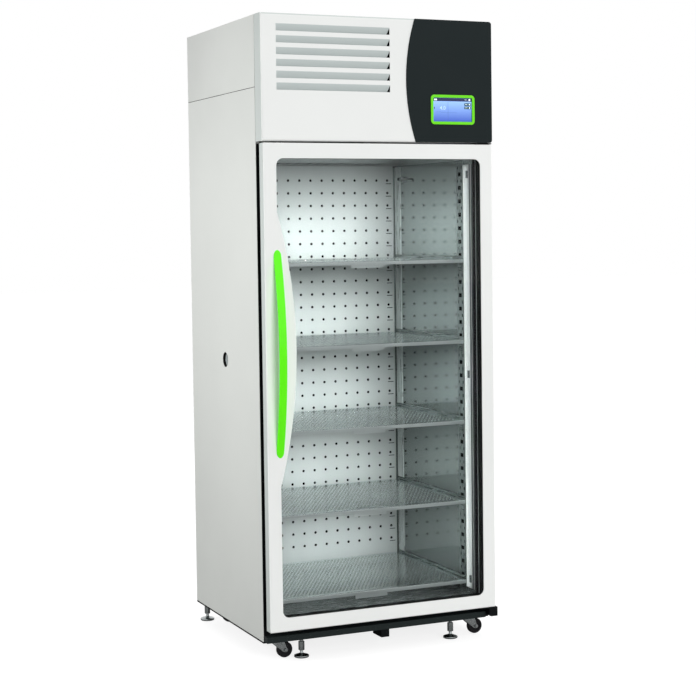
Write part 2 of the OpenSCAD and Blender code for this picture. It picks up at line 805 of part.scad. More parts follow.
// Channel with a wiring groove along its front and three clips
module lamp_channel() {
    groove = [3, 14];
    groove_d = 2;
    clip = [18, 26];
    clip_t = 5;
    clip_h = 24;
    clip_in = 20;
    color("#d7dcda") {
        difference() {
            box([lamp_x, lamp_y, lamp_z], [cxr, lamp_y + lamp_w, lamp_z + lamp_l]);
            box([lamp_x - 1, lamp_y + groove[0], lamp_z - 1],
                [lamp_x + groove_d, lamp_y + groove[1], lamp_z + lamp_l + 1]);
        }
        for (z = [lamp_z + clip_in, lamp_z + lamp_l / 2, lamp_z + lamp_l - clip_in - clip_h])
            box([lamp_x - clip_t, lamp_y + clip[0], z], [lamp_x, lamp_y + clip[1], z + clip_h]);
    }
}

// Rounded cover over the lamp's diodes
module lamp_diffuser() {
    r = 8;
    from_edge = 17;
    end = 6;
    color("#f6f8f5") translate([lamp_x, lamp_y + lamp_w - from_edge, lamp_z + end]) intersection() {
        cylinder(h = lamp_l - 2 * end, r = r);
        translate([-r - 1, -r - 1, -1]) cube([r + 1, 2 * r + 2, lamp_l]);
    }
}

// Probe that lies along the right wall near the ceiling
module temperature_probe() {
    rod_r = 3;
    ball_r = 6;
    px = cxr - 10;
    py = rear_strip_y - probe_l - ball_r;
    pz = z_ceiling - 48;
    clip_l = 12;
    clip_h = 16;
    clip_y = py + probe_l - 2 * clip_l - 2;
    color("#d9dddc") {
        translate([px, py, pz]) rotate([-90, 0, 0]) cylinder(h = probe_l, r = rod_r);
        translate([px, py + probe_l, pz]) sphere(ball_r);
        box([px - rod_r, clip_y, pz - clip_h / 2], [cxr, clip_y + clip_l, pz + clip_h / 2]);
    }
}

// Sleeve through the wall, with a flange on the chamber's side
module port_sleeve() {
    flange_t = 2;
    flange_w = 7;
    color("#202426") difference() {
        union() {
            translate([xl, yf + port_y, z_base + port_z]) rotate([0, 90, 0])
                cylinder(h = side_wall + flange_t, r = port_hole_r);
            translate([cxl, yf + port_y, z_base + port_z]) rotate([0, 90, 0])
                cylinder(h = flange_t, r = port_hole_r + flange_w);
        }
        port_drill(xl, cxl + flange_t, port_r);
    }
}

// Soft plug with a finger recess, seated inside the sleeve
module port_stopper() {
    color("#8f9795") translate([xl + stopper_depth, yf + port_y, z_base + port_z]) rotate([0, 90, 0])
        difference() {
            cylinder(h = side_wall - stopper_depth, r = port_r - stopper_play);
            translate([0, 0, -1]) cylinder(h = 4, r1 = 13, r2 = 10);
        }
}

// ---------- hinges ----------

module hinge_brackets() {
    x0 = axis_x - bracket_l;
    y0 = y_door + bracket_y;
    z_low = door_z0 - bracket_gap;
    z_high = door_z1 + bracket_gap;
    z_block = z_base + 6;
    block_end = yf - 2;
    color("#111314") {
        // Lower bracket with its pin, and the block that carries it
        box([x0, y0, z_low - bracket_t], [xr + hinge_reach, yf, z_low]);
        upright(y0, block_end - y0) translate([xr - hinge_block_w, z_block])
            cut_corner(hinge_block_w + hinge_reach, z_low - bracket_t - z_block, 8);
        rod(axis_x, axis_y, z_low - bracket_t, z_low + pin_l, pin_r);
        // Upper bracket with its pin, which reaches back to the black frame
        box([x0, y0, z_high], [xr, yf, z_high + bracket_t]);
        rod(axis_x, axis_y, z_high - pin_l, z_high + bracket_t, pin_r);
    }
}

// Rectangle with its lower left corner rounded
module cut_corner(w, h, r) {
    translate([r, 0]) square([w - r, h]);
    translate([0, r]) square([w, h - r]);
    translate([r, r]) circle(r);
}

// ---------- door ----------

// Window outline: a round-cornered rectangle that gives way to the swelling behind the handle
module window_outline() {
    r = arc_r(swell_h, swell_w);
    difference() {
        round_rect([win_x0, win_z0], [win_x1, win_z1], window_r);
        translate([win_x0 + swell_w - r, z_base + swell_z]) circle(r, $fn = big_fn);
    }
}

module door_frame() {
    fold_gap = 3;               // how far the folded edges stay in front of the door's back
    depth = door_t - fold_gap;
    color("#efefec") difference() {
        union() {
            upright(y_door, skin_t) difference() {
                translate([door_x0, door_z0]) square([door_x1 - door_x0, door_z1 - door_z0]);
                window_outline();
            }
            ring(y_door, depth, [door_x0, door_z0], [door_x1, door_z1], skin_t);
        }
        rod(axis_x, axis_y, door_z0 - 1, door_z1 + 1, pin_r + 1);
        for (s = [-1, 1])
            translate([xl + handle_x, y_door - 1, z_base + handle_z + s * (handle_l / 2 - handle_pin_end)])
                rotate([-90, 0, 0]) cylinder(h = skin_t + 2, r = handle_pin_r + hole_play);
    }
}

// Black frame inside the skin that holds the glass and the gasket; it has the hinge sockets
module door_inner_frame() {
    inset = skin_t;
    color("#0f1112") difference() {
        box([door_x0 + inset, y_glass, door_z0 + inset], [door_x1 - inset, y_door_back, door_z1 - inset]);
        box([pack_x0, y_glass - 1, pack_z0], [pack_x1, y_glass + glass_pack, pack_z1]);
        box([win_x0, y_glass, win_z0], [win_x1, y_door_back + 1, win_z1]);
        for (z = [door_z0, door_z1 - 2 * pin_l])
            rod(axis_x, axis_y, z - 1, z + 2 * pin_l + 1, pin_r + pin_play);
    }
}

module door_glass() {
    color([0.80, 0.90, 0.88, 0.25]) for (y = [y_glass, y_glass + glass_t + spacer_t])
        box([pack_x0, y, pack_z0], [pack_x1, y + glass_t, pack_z1]);
}

module glass_spacer() {
    color("#0a0b0c") ring(y_glass + glass_t, spacer_t, [pack_x0, pack_z0], [pack_x1, pack_z1], spacer_w);
}

// Magnetic gasket: a flat foot on the door, a hollow bellows and a flat lip on the cabinet
module door_gasket() {
    over = 3;                   // how far the gasket lies inside the chamber's mouth
    in = gasket_w - over;
    foot = 5;
    neck = 4;
    press_gap = 0.2;
    a = [cxl - in, z_floor - in];
    b = [cxr + in, z_ceiling + in];
    color("#17191a") {
        ring(y_door_back, foot, a, b, in);
        ring(y_door_back + foot, gasket_t - 2 * foot, [a[0] + neck, a[1] + neck],
             [b[0] - neck, b[1] - neck], in - 2 * neck);
        ring(y_door_back + gasket_t - foot, foot - press_gap, a, b, in);
    }
}

// Bow handle: a strap with bevelled edges, swept along a shallow arc whose tips run into the door
module door_handle() {
    r_out = arc_r(handle_l, handle_bow + handle_t / 2);
    r_in = r_out - handle_t;
    half = handle_w / 2;
    bevel = handle_t * 0.3;
    zc = z_base + handle_z;
    hx = xl + handle_x;
    sweep = 2 * asin(handle_l / 2 / r_out) + 4;
    stand = handle_bow + handle_t / 2;
    color("#5df51a") {
        intersection() {
            translate([hx, y_door - stand + r_out, zc])
                rotate([0, -90, 0])
                    rotate([0, 0, -90 - sweep / 2])
                        rotate_extrude(angle = sweep, $fn = big_fn) polygon([
                            [r_in, bevel - half], [r_in + bevel, -half],
                            [r_out - bevel, -half], [r_out, bevel - half],
                            [r_out, half - bevel], [r_out - bevel, half],
                            [r_in + bevel, half], [r_in, half - bevel]
                        ]);
            box([hx - handle_w, y_door - 2 * stand, zc - handle_l], [hx + handle_w, y_door, zc + handle_l]);
        }
        for (s = [-1, 1]) translate([hx, y_door - handle_pin_in, zc + s * (handle_l / 2 - handle_pin_end)])
            rotate([-90, 0, 0]) cylinder(h = handle_pin_in + skin_t, r = handle_pin_r);
    }
}

// ---------- header ----------

y_header = yf - header_d;
bez_x0 = xr - bezel_x - bezel_w;
bez_z0 = z_header + bezel_z;

// Sheet outline of the header with its two round corners on the right
module header_outline(x0) {
    r = header_r;
    translate([x0, z_header]) square([xr - x0 - r, header_h]);
    translate([x0, z_header + r]) square([xr - x0, header_h - 2 * r]);
    for (z = [z_header + r, z_top - r]) translate([xr - r, z]) circle(r);
}

module header_cover() {
    t = header_t;
    color("#eeeeeb") {
        upright(y_header, t) difference() {
            header_outline(xl);
            for (i = [0:louvres - 1]) translate([xl + louvre_x, louvre_z(i)]) square([louvre_l, louvre_h]);
            translate([bez_x0 + bezel_rim, bez_z0 + bezel_rim])
                square([bezel_w - 2 * bezel_rim, bezel_h - 2 * bezel_rim]);
        }
        for (i = [0:louvres - 1]) louvre_blade(louvre_z(i));
        difference() {
            upright(y_header, header_d) header_outline(xl);
            upright(y_header - 1, header_d + 2) translate([xl + t, z_header + t])
                square([cabinet_w - 2 * t, header_h - 2 * t]);
        }
    }
}

function louvre_z(i) = z_top - louvre_top - louvre_h - i * louvre_pitch;

// Blade that slopes inwards from the slot's upper edge, open at its ends and below
module louvre_blade(z) {
    y0 = y_header + header_t;
    t = 1.2;
    sideways(xl + louvre_x, louvre_l) polygon([
        [y0 - eps, z + louvre_h], [y0 - eps, z + louvre_h + 3], [y0 + t, z + louvre_h + 3],
        [y0 + louvre_d + t, z - 1], [y0 + louvre_d, z - 1]
    ]);
}

// Dark fascia with one bowed side
module fascia() {
    r = arc_r(header_h, fascia_bulge);
    x0 = xr - fascia_w - fascia_bulge;
    color("#2b3234") upright(y_header - fascia_t, fascia_t) difference() {
        union() {
            header_outline(xr - fascia_w);
            intersection() {
                translate([x0 + r, z_header + header_h / 2]) circle(r, $fn = big_fn);
                translate([x0, z_header]) square([fascia_w / 2, header_h]);
            }
        }
        translate([bez_x0 + bezel_rim, bez_z0 + bezel_rim])
            square([bezel_w - 2 * bezel_rim, bezel_h - 2 * bezel_rim]);
    }
}

module screen_bezel() {
    t = 3;
    outer_r = 12;
    inner_r = 4;
    color("#84f53f") upright(y_header - fascia_t - t, t) difference() {
        round_rect([bez_x0, bez_z0], [bez_x0 + bezel_w, bez_z0 + bezel_h], outer_r);
        round_rect([bez_x0 + bezel_rim, bez_z0 + bezel_rim],
                   [bez_x0 + bezel_w - bezel_rim, bez_z0 + bezel_h - bezel_rim], inner_r);
    }
}

// Touch screen with its housing behind the header's sheet
module screen() {
    in = bezel_rim + 1.3;
    proud = 1.5;
    body_in = 2;
    body_d = 20;
    color("#5b7fe0") {
        box([bez_x0 + in, y_header - fascia_t - proud, bez_z0 + in],
            [bez_x0 + bezel_w - in, y_header + header_t + 1, bez_z0 + bezel_h - in]);
        box([bez_x0 + body_in, y_header + header_t, bez_z0 + body_in],
            [bez_x0 + bezel_w - body_in, y_header + header_t + body_d, bez_z0 + bezel_h - body_in]);
    }
}

// ---------- machine compartment ----------

module deck_plate() {
    color("#b9bdbe") difference() {
        box([xl + sheet, yf + sheet, z_deck - deck_t], [xr - sheet, yb - sheet, z_deck]);
        box(return_a, return_b);
        box(supply_a, supply_b);
    }
}

// Wrap of the upper machine compartment: two sides and the top
module machine_cover() {
    color("#dfe2dd") {
        for (x = [xl, xr - sheet]) box([x, yf, z_seam], [x + sheet, yb, z_top]);
        box([xl, yf, z_top - sheet], [xr, yb, z_top]);
    }
}

comp_side = 20;                 // gap between the compressor and the chamber's side plane
comp_back = 36;                 // gap between the compressor and the air box
comp_x = cxl + compressor_d / 2 + comp_side;
comp_y = box_y0 - compressor_d / 2 - comp_back;
comp_lift = 14;                 // height of the shell's underside above the deck
shoulder = 18;                  // radius of the shell's shoulders and rise of its dome
// Where the discharge line and the suction line leave the shell, from its axis
discharge_at = [16, -20];
suction_at = [-24, 20];

// Hermetic compressor: a domed shell on a footed plate, with a stub for each line
module compressor() {
    r = compressor_d / 2;
    top_r = r - shoulder;
    dome_r = arc_r(2 * top_r, shoulder);
    h = compressor_h - comp_lift;
    pad = r - 5;
    pad_t = 4;
    post = r - 16;
    post_r = 9;
    seam = [3, 4];              // how far the welded seam stands out, and its height
    stub_r = line_r + 3;
    color("#1c1f21") translate([comp_x, comp_y, z_deck]) {
        translate([0, 0, comp_lift]) rotate_extrude($fn = 64) {
            square([top_r, h - shoulder]);
            translate([0, shoulder]) square([r, h - 3 * shoulder]);
            for (z = [shoulder, h - 2 * shoulder]) translate([top_r, z]) intersection() {
                circle(shoulder);
                square(2 * shoulder, center = true);
            }
            translate([0, h * 0.55]) square([r + seam[0], seam[1]]);
            intersection() {
                translate([0, h - dome_r]) circle(dome_r, $fn = 120);
                translate([0, h - 2 * shoulder]) square([top_r, 2 * shoulder]);
            }
        }
        translate([-pad, -pad, comp_lift - pad_t]) cube([2 * pad, 2 * pad, pad_t]);
        for (a = [-1, 1], b = [-1, 1]) rod(a * post, b * post, 0, comp_lift - pad_t, post_r);
        for (at = [discharge_at, suction_at])
            rod(at[0], at[1], compressor_h - shoulder, compressor_h, stub_r);
    }
}

cond_side = 40;                 // distance from the louvres' left end to the condenser
cond_front = 14;                // gap between the front plane and the condenser
cond_x0 = xl + louvre_x + cond_side;
cond_y0 = yf + cond_front;
cond_feet = 12;                 // height of the condenser's core above the deck
z_cond = z_deck + cond_feet;
cond_rows = 8;                  // rows of tubes
tube_share = [0.3, 0.7];        // where the two tube columns lie in a coil's depth
bend_out = 8;                   // how far a coil's tubes stand out beside its end plates
fan_x = cond_x0 + condenser_w / 2;
fan_z = z_cond + condenser_h / 2;
coil_r = 4;                     // radius of a coil's tubes
coil_end = 20;                  // distance from a coil's end to its first tube
shaft_r = 5;                    // radius of a fan's shaft
shroud_d = 46;
shroud_y = cond_y0 + condenser_d;

function cond_tube_z(k) = z_cond + coil_end + k * (condenser_h - 2 * coil_end) / (cond_rows - 1);

// Finned condenser with end plates and its rows of tubes
module condenser() {
    fin_t = 1;
    plate = 3;
    fin_in = 4;
    fin_step = (condenser_w - 2 * fin_in) / condenser_fins;
    color("#a7adaa") {
        for (i = [1:condenser_fins - 1])
            box([cond_x0 + fin_in + i * fin_step, cond_y0 + fin_in, z_cond + fin_in],
                [cond_x0 + fin_in + i * fin_step + fin_t, cond_y0 + condenser_d - fin_in,
                 z_cond + condenser_h - fin_in]);
        for (x = [cond_x0, cond_x0 + condenser_w - plate])
            box([x, cond_y0, z_deck], [x + plate, cond_y0 + condenser_d, z_cond + condenser_h]);
        for (k = [0:cond_rows - 1], s = tube_share)
            translate([cond_x0 - bend_out, cond_y0 + condenser_d * s, cond_tube_z(k)])
                rotate([0, 90, 0]) cylinder(h = condenser_w + 2 * bend_out, r = coil_r, $fn = 24);
    }
}

// Shroud behind the condenser, with a motor on a three-armed bracket
module fan_shroud() {
    t = 2;
    y1 = shroud_y + shroud_d;
    x0 = cond_x0 + 3;
    x1 = cond_x0 + condenser_w - 3;
    over = 12;
    tip_gap = 6;
    arm_t = 4;
    arm_w = 12;
    motor_r = 32;
    motor_l = 38;
    bore_end = 20;
    color("#2a2e30") difference() {
        union() {
            upright(y1 - t, t) difference() {
                translate([x0, z_deck + t]) square([x1 - x0, condenser_h + over - 2 * t]);
                translate([fan_x, fan_z]) circle(fan_d / 2 + tip_gap, $fn = 96);
            }
            ring(shroud_y, shroud_d, [x0, z_deck], [x1, z_deck + condenser_h + over], t);
            upright(y1 - arm_t, arm_t) for (a = [90, 210, 330]) translate([fan_x, fan_z]) rotate(a)
                translate([0, -arm_w / 2]) square([fan_d / 2 + tip_gap + 8, arm_w]);
            translate([fan_x, y1 - arm_t + motor_l, fan_z]) rotate([90, 0, 0])
                cylinder(h = motor_l, r = motor_r);
        }
        translate([fan_x, y1 + bore_end, fan_z]) rotate([90, 0, 0])
            cylinder(h = bore_end + 2 * arm_t + 2, r = shaft_r + pin_play);
    }
}

// Axial fan: hub, five pitched blades and the shaft that runs in the motor
module condenser_fan() {
    y1 = shroud_y + shroud_d - 6;
    blades = 5;
    hub_r = 26;
    hub_l = 24;
    pitch = 38;
    blade_t = 2.4;
    chord = 44;
    root = 20;
    color("#30373a") translate([fan_x, y1, fan_z]) {
        rotate([90, 0, 0]) cylinder(h = hub_l, r = hub_r);
        translate([0, 18, 0]) rotate([90, 0, 0]) cylinder(h = 20, r = shaft_r);
        for (i = [0:blades - 1]) rotate([0, i * 360 / blades, 0]) translate([root, -16, 0])
            rotate([pitch, 0, 0]) translate([0, -blade_t / 2, -chord / 2])
                cube([fan_d / 2 - root - 1, blade_t, chord]);
    }
}

// Insulated box over the passages, which holds the evaporator and the blower
module air_box() {
    t = air_box_t;
    z1 = z_deck + air_box_h;
    color("#cfc9a8") difference() {
        box([box_x0, box_y0, z_deck], [box_x1, box_y1, z1]);
        box([box_x0 + t, box_y0 + t, z_deck - 1], [box_x1 - t, box_y1 - t, z1 - t]);
        rod(blow_x, blow_y, z1 - t - 1, z1 + 1, shaft_r + pin_play);
    }
    // Motor of the blower, on top of the box
    color("#2a2e30") difference() {
        rod(blow_x, blow_y, z1, z1 + blow_motor_h, blow_motor_r);
        rod(blow_x, blow_y, z1 - 1, z1 + blow_shaft, shaft_r + pin_play);
    }
}

blow_motor_h = 52;              // height of the blower's motor
blow_motor_r = 42;              // radius of the blower's motor
blow_shaft = 34;                // how far the blower's shaft runs into its motor
blow_in = 72;                   // distance from the air box's front wall to the blower's axis
blow_x = (box_x0 + box_x1) / 2;
blow_y = box_y0 + blow_in + air_box_t;

// Circulation blower: two discs joined by a ring of blades, on a shaft from the motor above
module circulation_fan() {
    r = blower_d / 2 - 6;
    z1 = z_deck + air_box_h - air_box_t - 10;
    h = 60;
    vanes = 24;
    disc = 4;
    eye = 20;                   // width of the lower disc's ring
    vane_l = 13;
    vane_t = 1.6;
    vane_in = 3;
    color("#b9bdbe") {
        rod(blow_x, blow_y, z1 - disc, z1, r);
        translate([blow_x, blow_y, z1 - h]) difference() {
            cylinder(h = disc - 1, r = r);
            translate([0, 0, -1]) cylinder(h = disc + 1, r = r - eye);
        }
        for (i = [0:vanes - 1]) translate([blow_x, blow_y, z1 - h]) rotate(i * 360 / vanes)
            translate([r - vane_in - vane_l, -vane_t / 2, 0]) cube([vane_l, vane_t, h - 1]);
        rod(blow_x, blow_y, z1 - 2, z1 + air_box_t + blow_shaft, shaft_r);
    }
}

evap_side = 30;                 // gap between the air box's side walls and the evaporator
evap_in = 156;                  // distance from the air box's front wall to the evaporator
evap_d = 56;                    // depth of the evaporator
evap_y0 = box_y0 + air_box_t + evap_in;

// Evaporator: a shorter finned coil behind the blower, standing in the air box
module evaporator() {
    fins = 30;
    fin_t = 1;
    plate = 3;
    fin_in = 3;
    x0 = box_x0 + air_box_t + evap_side;
    x1 = box_x1 - air_box_t - evap_side;
    y1 = evap_y0 + evap_d;
    z0 = z_deck + 6;
    z1 = z_deck + air_box_h - air_box_t - 8;
    step = (x1 - x0) / fins;
    rows = 4;
    row_in = 18;
    color("#a7adaa") {
        for (i = [1:fins - 1]) box([x0 + i * step, evap_y0 + fin_in, z0 + fin_in],
            [x0 + i * step + fin_t, y1 - fin_in, z1 - fin_in]);
        for (x = [x0, x1 - plate]) box([x, evap_y0, z_deck], [x + plate, y1, z1]);
        for (k = [0:rows - 1], s = tube_share)
            translate([x0 - bend_out, evap_y0 + evap_d * s,
                       z0 + row_in + k * (z1 - z0 - 2 * row_in) / (rows - 1)])
                rotate([0, 90, 0]) cylinder(h = x1 - x0 + 2 * bend_out, r = coil_r, $fn = 24);
    }
}

// Control electronics behind the fascia
ctrl_w = 220;                   // width of the control box
ctrl_d = 150;                   // depth of the control box
ctrl_h = 230;                   // height of the control box
ctrl_side = 20;                 // gap between the right side and the control box
ctrl_front = 12;                // gap between the front plane and the control box

module control_box() {
    x0 = xr - ctrl_side - ctrl_w;
    y0 = yf + ctrl_front;
    vents = 6;
    vent_y = 30;
    vent_w = 6;
    vent_pitch = 16;
    vent_z = [60, 170];
    color("#c9cdcb") difference() {
        box([x0, y0, z_deck], [x0 + ctrl_w, y0 + ctrl_d, z_deck + ctrl_h]);
        for (i = [0:vents - 1]) box([x0 - 1, y0 + vent_y + i * vent_pitch, z_deck + vent_z[0]],
            [x0 + 3, y0 + vent_y + vent_w + i * vent_pitch, z_deck + vent_z[1]]);
    }
}

line_r = 4;                     // radius of a refrigerant line

// Copper lines: risers from the compressor's stubs, with their horizontal runs
module refrigerant_lines() {
    run_over = 28;              // height of the horizontal runs above the condenser
    beside = 12;                // gap between the condenser's bends and the discharge riser
    box_gap = 16;               // distance from the air box to the suction riser
    z_out = z_deck + compressor_h;
    z_run = z_cond + condenser_h + run_over;
    d = [comp_x, comp_y] + discharge_at;
    u = [comp_x, comp_y] + suction_at;
    drop_x = cond_x0 - bend_out - beside;
    drop_y = cond_y0 + condenser_d * tube_share[0];
    top_tube = cond_tube_z(cond_rows - 1);
    y_in = evap_y0 + evap_d / 2;
    z_in = z_deck + air_box_h * 0.4;
    side_x = box_x0 - box_gap;
    color("#b87447") {
        // Discharge line from the compressor to the condenser's upper tube
        copper([[d[0], d[1], z_out], [d[0], d[1], z_run], [drop_x, d[1], z_run],
                [drop_x, drop_y, z_run], [drop_x, drop_y, top_tube],
                [cond_x0 - bend_out, drop_y, top_tube]], line_r);
        // Suction line from the air box, where the evaporator is, back to the compressor
        copper([[u[0], u[1], z_out], [u[0], u[1], z_run], [side_x, u[1], z_run],
                [side_x, y_in, z_run], [side_x, y_in, z_in], [box_x0, y_in, z_in]], line_r);
    }
}

// Tube along axis-parallel runs, with a ball at each bend
module copper(points, r) {
    for (i = [0:len(points) - 2]) {
        d = points[i + 1] - points[i];
        translate(points[i])
            rotate([0, d[0] != 0 ? (d[0] > 0 ? 90 : -90) : (d[2] < 0 ? 180 : 0), 0])
                rotate([d[1] != 0 ? (d[1] > 0 ? -90 : 90) : 0, 0, 0])
                    cylinder(h = norm(d), r = r);
    }
    for (i = [1:len(points) - 2]) translate(points[i]) sphere(r);
}

// Three-pin inlet with the opening for the switch above it
module power_inlet() {
    flange = [28, 38];          // half the flange's width and height
    body = [23, 33];            // half the body's width and height
    body_d = 30;
    well_d = 18;
    pins = [-7, 0, 7];
    pin_h = 6;
    color("#141617") difference() {
        union() {
            box([inlet_x - flange[0], yb, inlet_z - flange[1]],
                [inlet_x + flange[0], yb + inlet_flange, inlet_z + flange[1]]);
            box([inlet_x - body[0], yb - body_d, inlet_z - body[1]],
                [inlet_x + body[0], yb, inlet_z + body[1]]);
        }
        box([inlet_x - 13, yb - well_d, inlet_z - 26], [inlet_x + 13, yb + inlet_flange + 1, inlet_z - 6]);
        box([inlet_x - rocker_w / 2 - rocker_play, yb - well_d, inlet_z + 4],
            [inlet_x + rocker_w / 2 + rocker_play, yb + inlet_flange + 1, inlet_z + 28]);
    }
    color("#c9cdcb") for (x = pins) translate([inlet_x + x, 0, inlet_z - 20 + (x == 0 ? 4 : 0)])
        box([-1, yb - well_d - 1, 0], [1, yb - 4, pin_h]);
}

rocker_w = 21;                  // width of the mains switch's rocker
rocker_play = 0.3;              // gap beside the rocker

// Rocker of the mains switch: a shallow V that tilts in its opening
module power_switch() {
    h = 9;
    tilt = 8;
    color("#b3261e") translate([inlet_x - rocker_w / 2, yb - 6, inlet_z + 16]) rotate([tilt, 0, 0])
        sideways(0, rocker_w) polygon([[-3, -4], [-3, 4], [3, h], [6, h], [4.5, 0], [6, -h], [3, -h]]);
}

// ---------- draw ----------

base_frame();
kick_strip();
caster_plates();
side_panel_left();
side_panel_right();
back_panel();
insulation();
front_frame();
liner_sides();
ceiling_panel();
floor_pan();
duct_panel();
pilasters();
shelf_rails();
lamp_channel();
lamp_diffuser();
temperature_probe();
port_sleeve();
port_stopper();
hinge_brackets();
deck_plate();
machine_cover();
header_cover();
fascia();
screen_bezel();
screen();
compressor();
condenser();
fan_shroud();
condenser_fan();
air_box();
evaporator();
circulation_fan();
control_box();
refrigerant_lines();
power_inlet();
power_switch();
door_frame();
door_inner_frame();
door_glass();
glass_spacer();
door_gasket();
door_handle();
shelf(1);  // shelf_1
shelf(2);  // shelf_2
shelf(3);  // shelf_3
shelf(4);  // shelf_4
shelf(5);  // shelf_5
fork(caster_spot(LEFT, true));  // fork_front_left
fork(caster_spot(RIGHT, true));  // fork_front_right
fork(caster_spot(LEFT, false));  // fork_rear_left
fork(caster_spot(RIGHT, false));  // fork_rear_right
wheel(caster_spot(LEFT, true));  // wheel_front_left
wheel(caster_spot(RIGHT, true));  // wheel_front_right
wheel(caster_spot(LEFT, false));  // wheel_rear_left
wheel(caster_spot(RIGHT, false));  // wheel_rear_right
foot(foot_spot(LEFT, true));  // foot_front_left
foot(foot_spot(RIGHT, true));  // foot_front_right
foot(foot_spot(LEFT, false));  // foot_rear_left
foot(foot_spot(RIGHT, false));  // foot_rear_right
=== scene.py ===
"""Looks of a tall refrigerated laboratory incubator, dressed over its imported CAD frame.

Every length is in metres, the front faces -Y and the floor is at z = 0.
"""

from __future__ import annotations

import logging
import math
from collections.abc import Callable, Iterable
from dataclasses import dataclass
from enum import Enum

import bpy
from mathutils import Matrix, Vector

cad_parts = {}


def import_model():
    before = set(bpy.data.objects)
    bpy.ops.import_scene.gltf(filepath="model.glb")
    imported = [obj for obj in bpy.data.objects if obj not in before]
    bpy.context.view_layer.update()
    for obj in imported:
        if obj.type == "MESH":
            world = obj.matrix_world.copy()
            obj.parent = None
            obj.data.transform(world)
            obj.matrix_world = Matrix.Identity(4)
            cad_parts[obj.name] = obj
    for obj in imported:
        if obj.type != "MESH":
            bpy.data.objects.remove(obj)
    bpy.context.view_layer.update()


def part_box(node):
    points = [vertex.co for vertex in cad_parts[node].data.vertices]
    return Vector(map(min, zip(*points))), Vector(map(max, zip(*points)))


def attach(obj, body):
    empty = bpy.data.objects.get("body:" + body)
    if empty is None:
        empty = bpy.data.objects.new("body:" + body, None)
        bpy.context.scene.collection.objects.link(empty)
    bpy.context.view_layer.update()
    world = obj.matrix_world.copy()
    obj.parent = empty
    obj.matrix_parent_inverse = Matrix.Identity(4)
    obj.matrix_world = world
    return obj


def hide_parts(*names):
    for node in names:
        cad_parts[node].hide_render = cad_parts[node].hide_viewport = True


log = logging.getLogger("incubator")
MM = 0.001
PAST = 10 * MM  # how far a cutter reaches past the piece that it cuts
DISPLAY_RIM = 9 * MM  # width of the rim around the display
SHELVES = 5

Colour = tuple[float, float, float]
Point = tuple[float, float, float]
Piece = bpy.types.Object
Socket = bpy.types.NodeSocket
Test = Callable[[Vector, Vector], bool]
Profile = list[tuple[float, float]]


class Body(str, Enum):
    """CAD bodies that a piece can ride on."""

    CABINET = "cabinet"
    DOOR = "door"
    STOPPER = "stopper"


class Slot(str, Enum):
    """Names of material slots."""

    WHITE = "white_paint"
    GREY = "grey_paint"
    BLACK = "black_paint"
    GRAPHITE = "graphite"
    LIME = "lime_plastic"
    STAINLESS = "stainless"
    ZINC = "zinc"
    SCREEN = "screen_glass"
    RUBBER = "black_rubber"
    BUNG = "grey_rubber"
    MOULDED = "black_plastic"


class Axis(Enum):
    """Direction of an axis, with the turn that brings +Z onto it."""

    X = (0.0, math.pi / 2, 0.0)
    Y = (math.pi / 2, 0.0, 0.0)
    Z = (0.0, 0.0, 0.0)

    @property
    def index(self) -> int:
        """Place of this axis in a vector."""
        return ("X", "Y", "Z").index(self.name)


# ---------------------------------------------------------------- modelling


@dataclass(frozen=True)
class Span:
    """Lowest and highest corner of a CAD node."""

    low: Vector
    high: Vector

    @classmethod
    def of(cls, node: str) -> Span:
        """Span of one CAD node at rest."""
        return cls(*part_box(node))

    @property
    def middle(self) -> Vector:
        """Centre of the span."""
        return (self.low + self.high) / 2

    @property
    def size(self) -> Vector:
        """Edge lengths of the span."""
        return self.high - self.low


def pick(piece: Piece) -> None:
    """Leave only one piece selected and active.

    Args:
        piece: The piece.
    """
    bpy.ops.object.select_all(action="DESELECT")
    piece.select_set(True)
    bpy.context.view_layer.objects.active = piece


def named(name: str) -> Piece:
    """Name the active object and put its place into its mesh.

    Args:
        name: Name of the object and its mesh.

    Returns:
        The active object.
    """
    piece = bpy.context.active_object
    piece.name = name
    piece.data.name = name
    pick(piece)
    bpy.ops.object.transform_apply(location=True, rotation=True, scale=True)
    return piece


def block(name: str, low: Iterable[float], high: Iterable[float]) -> Piece:
    """Add a block from its low to its high corner.

    Args:
        name: Name of the new object.
        low: Lowest corner.
        high: Highest corner.

    Returns:
        The block, with its place in its mesh.
    """
    a, b = Vector(low), Vector(high)
    bpy.ops.object.select_all(action="DESELECT")
    bpy.ops.mesh.primitive_cube_add(size=1, location=(a + b) / 2)
    bpy.context.active_object.scale = b - a
    return named(name)


def drum(name: str, centre: Iterable[float], radius: float, depth: float, axis: Axis = Axis.Z,
         sides: int = 32) -> Piece:
    """Add a cylinder.

    Args:
        name: Name of the new object.
        centre: Its middle.
        radius: Its radius.
        depth: Length along the axis.
        axis: Direction of its axis.
        sides: Number of side faces.

    Returns:
        The drum, with its place in its mesh.
    """
    bpy.ops.object.select_all(action="DESELECT")
    bpy.ops.mesh.primitive_cylinder_add(vertices=sides, radius=radius, depth=depth, location=tuple(centre),
                                        rotation=axis.value)
    return named(name)


def edit(piece: Piece) -> None:
    """Enter edit mode with the whole mesh selected.

    Args:
        piece: The mesh to edit.
    """
    pick(piece)
    bpy.ops.object.mode_set(mode="EDIT")
    bpy.ops.mesh.select_all(action="SELECT")


